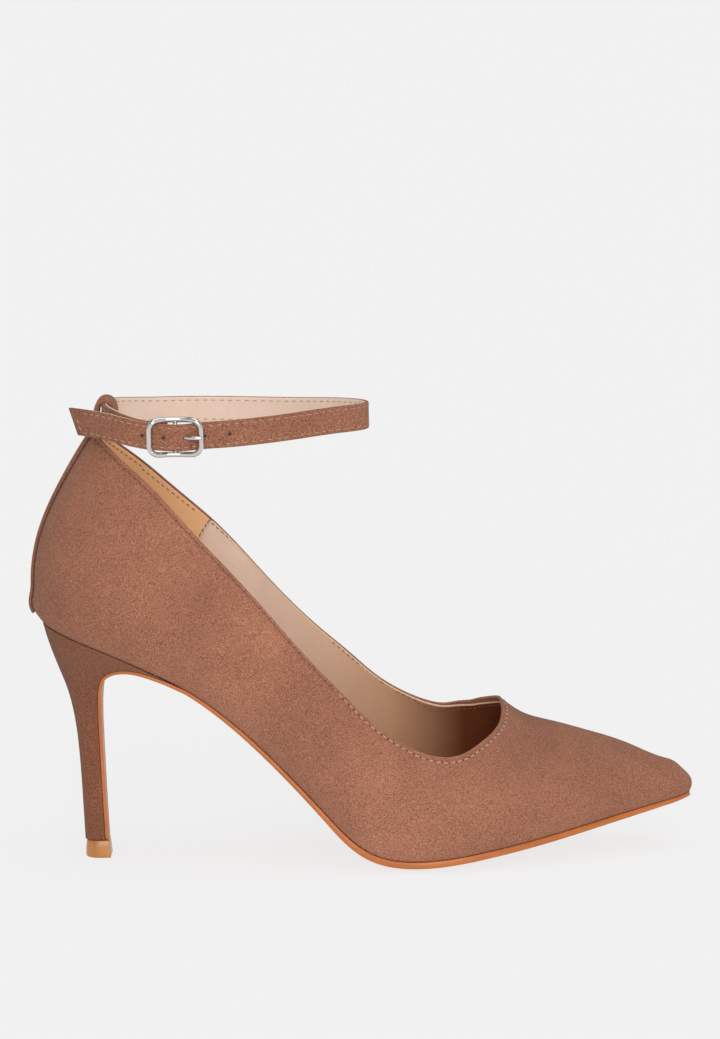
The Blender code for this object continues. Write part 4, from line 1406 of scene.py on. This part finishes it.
def painted_strap_hole_shade():
    """Punched adjusting holes as dark discs of painted shade, set in the outer side of the strap's tail."""
    route, outward = strap_line(0.8)
    tail = len(route) * 3 // 5
    bm = bmesh.new()
    for hole_x in HOLE_X:
        near = tail + int(np.argmin(np.abs(route[tail:, 0] - hole_x)))
        hit = STRAP_OUTSIDE.find_nearest(Vector(metres(route[near] + outward[near] * 1.0)))
        turn = hit[1].to_track_quat("Z", "Y").to_matrix().to_4x4()
        size = Matrix.Diagonal((HOLE_RADIUS * MM, HOLE_RADIUS * MM, 0.12 * MM, 1.0))
        place = Matrix.Translation(hit[0])
        bmesh.ops.create_uvsphere(bm, u_segments=12, v_segments=4, radius=1.0, matrix=place @ turn @ size)
    return bm


finish_piece("painted_strap_hole_shade", painted_strap_hole_shade(), HOLE_SHADE_PAINT, "ankle_strap")


# The buckle

def rounded_rectangle(length, height, corner, steps):
    """Points round a rectangle with round corners, about its middle."""
    points = []
    for quarter, (sx, sz) in enumerate(((1, 1), (-1, 1), (-1, -1), (1, -1))):
        cx = sx * (0.5 * length - corner)
        cz = sz * (0.5 * height - corner)
        for step in range(steps + 1):
            turn = (quarter + step / steps) * math.pi / 2.0
            points.append((cx + corner * math.cos(turn), cz + corner * math.sin(turn)))
    return points


def build_buckle_frame():
    half = 0.5 * (BUCKLE_LENGTH - BUCKLE_WIRE)
    outline = rounded_rectangle(2.0 * half, BUCKLE_HEIGHT - BUCKLE_WIRE, BUCKLE_CORNER, 12)
    route = []
    for (x, z), (next_x, next_z) in zip(outline, outline[1:] + outline[:1]):
        pieces = 14 if max(abs(next_x - x), abs(next_z - z)) > 3.0 else 1
        for k in range(pieces):
            px = x + (next_x - x) * k / pieces
            pz = z + (next_z - z) * k / pieces
            bow = min(1.0, abs(px) / (half - 1.5)) ** 2
            py = BUCKLE_BAR_Y + (BUCKLE_SIDE_Y - BUCKLE_BAR_Y) * bow
            route.append((BUCKLE_X + px, py, BUCKLE_Z + pz))
    radius = 0.5 * BUCKLE_WIRE
    frame_mesh = grid_of(tube_rings(np.array(route), (0.0, 1.0, 0.0), radius, radius, 20, closed=True))
    reach = 0.5 * (BUCKLE_HEIGHT - BUCKLE_WIRE)
    bar = [(BUCKLE_X, BUCKLE_BAR_Y, BUCKLE_Z + z) for z in np.linspace(-reach, reach, 5)]
    radius = 0.5 * BAR_WIRE
    absorb(frame_mesh, capped(tube_rings(np.array(bar), (0.0, 1.0, 0.0), radius, radius, 16)))
    bmesh.ops.recalc_face_normals(frame_mesh, faces=frame_mesh.faces)
    return frame_mesh


def build_prong():
    length = lengths_along(np.array(PRONG_ROUTE))[-1]
    route = smooth_route(PRONG_ROUTE, np.linspace(0.0, length, 30))
    return capped(tube_rings(route, (0.0, 0.0, 1.0), 0.5 * PRONG_WIRE, 0.5 * PRONG_WIRE, 16))


finish_piece("buckle_frame_metal", build_buckle_frame(), NICKEL, "buckle_frame")
finish_piece("prong_metal", build_prong(), NICKEL, "buckle_prong")


# Floor, light and camera

def plain_floor():
    bm = bmesh.new()
    bmesh.ops.create_grid(bm, x_segments=4, y_segments=4, size=12.0)
    mesh = bpy.data.meshes.new("floor")
    bm.to_mesh(mesh)
    bm.free()
    finish = Finish("pale_floor")
    look = finish.surface(
        Base_Color=(0.13, 0.13, 0.13, 1.0),
        Roughness=1.0,
        Specular_IOR_Level=0.0,
        Emission_Color=(1.0, 1.0, 1.0, 1.0),
        Emission_Strength=0.775,
    )
    mesh.materials.append(look)
    floor = bpy.data.objects.new("floor", mesh)
    bpy.context.scene.collection.objects.link(floor)


def soft_light(name, kind, energy, aim_from, **settings):
    light = bpy.data.lights.new(name, kind)
    light.energy = energy
    for key, value in settings.items():
        setattr(light, key, value)
    lamp = bpy.data.objects.new(name, light)
    lamp.location = aim_from
    lamp.rotation_euler = (-Vector(aim_from)).to_track_quat("-Z", "Y").to_euler()
    bpy.context.scene.collection.objects.link(lamp)


WORLD_FALL = {"From Min": 0.25, "From Max": 0.75, "To Min": 0.66, "To Max": 0.14}


def studio():
    world = bpy.data.worlds.new("studio")
    bpy.context.scene.world = world
    world.use_nodes = True
    background = world.node_tree.nodes["Background"]
    background.inputs["Color"].default_value = (1.0, 1.0, 1.0, 1.0)
    # the world's light is weaker overhead, which gives the metal something dark to mirror
    nodes = world.node_tree.nodes
    links = world.node_tree.links
    height = nodes.new("ShaderNodeSeparateXYZ")
    links.new(nodes.new("ShaderNodeTexCoord").outputs["Generated"], height.inputs[0])
    fall = nodes.new("ShaderNodeMapRange")
    for socket, value in WORLD_FALL.items():
        fall.inputs[socket].default_value = value
    links.new(height.outputs["Z"], fall.inputs["Value"])
    links.new(fall.outputs["Result"], background.inputs["Strength"])
    soft_light("key_light", "SUN", 1.45, (0.1, -2.6, 1.1), angle=math.radians(40))
    soft_light("top_light", "SUN", 1.15, (0.3, -0.4, 3.0), angle=math.radians(60))


CAMERA_DISTANCE = 2.2
CAMERA_TURN = math.radians(1.5)
CAMERA_RISE = math.radians(9.0)
CAMERA_ROLL = math.radians(1.0)
CAMERA_AIM = Vector((0.0006, 0.0, 0.1208))
CAMERA_LENS = 36.0 * 2200.0 / (0.356 * 1039.0)


def photo_camera():
    data = bpy.data.cameras.new("photo_camera")
    data.lens = CAMERA_LENS
    data.sensor_width = 36.0
    data.sensor_fit = "AUTO"
    data.clip_end = 60.0
    camera = bpy.data.objects.new("photo_camera", data)
    back = Vector((
        math.sin(CAMERA_TURN) * math.cos(CAMERA_RISE),
        -math.cos(CAMERA_TURN) * math.cos(CAMERA_RISE),
        math.sin(CAMERA_RISE),
    ))
    camera.location = CAMERA_AIM + back * CAMERA_DISTANCE
    facing = (-back).to_track_quat("-Z", "Y").to_matrix().to_4x4()
    camera.rotation_euler = (facing @ Matrix.Rotation(-CAMERA_ROLL, 4, "Z")).to_euler()
    bpy.context.scene.collection.objects.link(camera)
    bpy.context.scene.camera = camera


plain_floor()
studio()
photo_camera()
bpy.context.scene.view_settings.view_transform = "Standard"
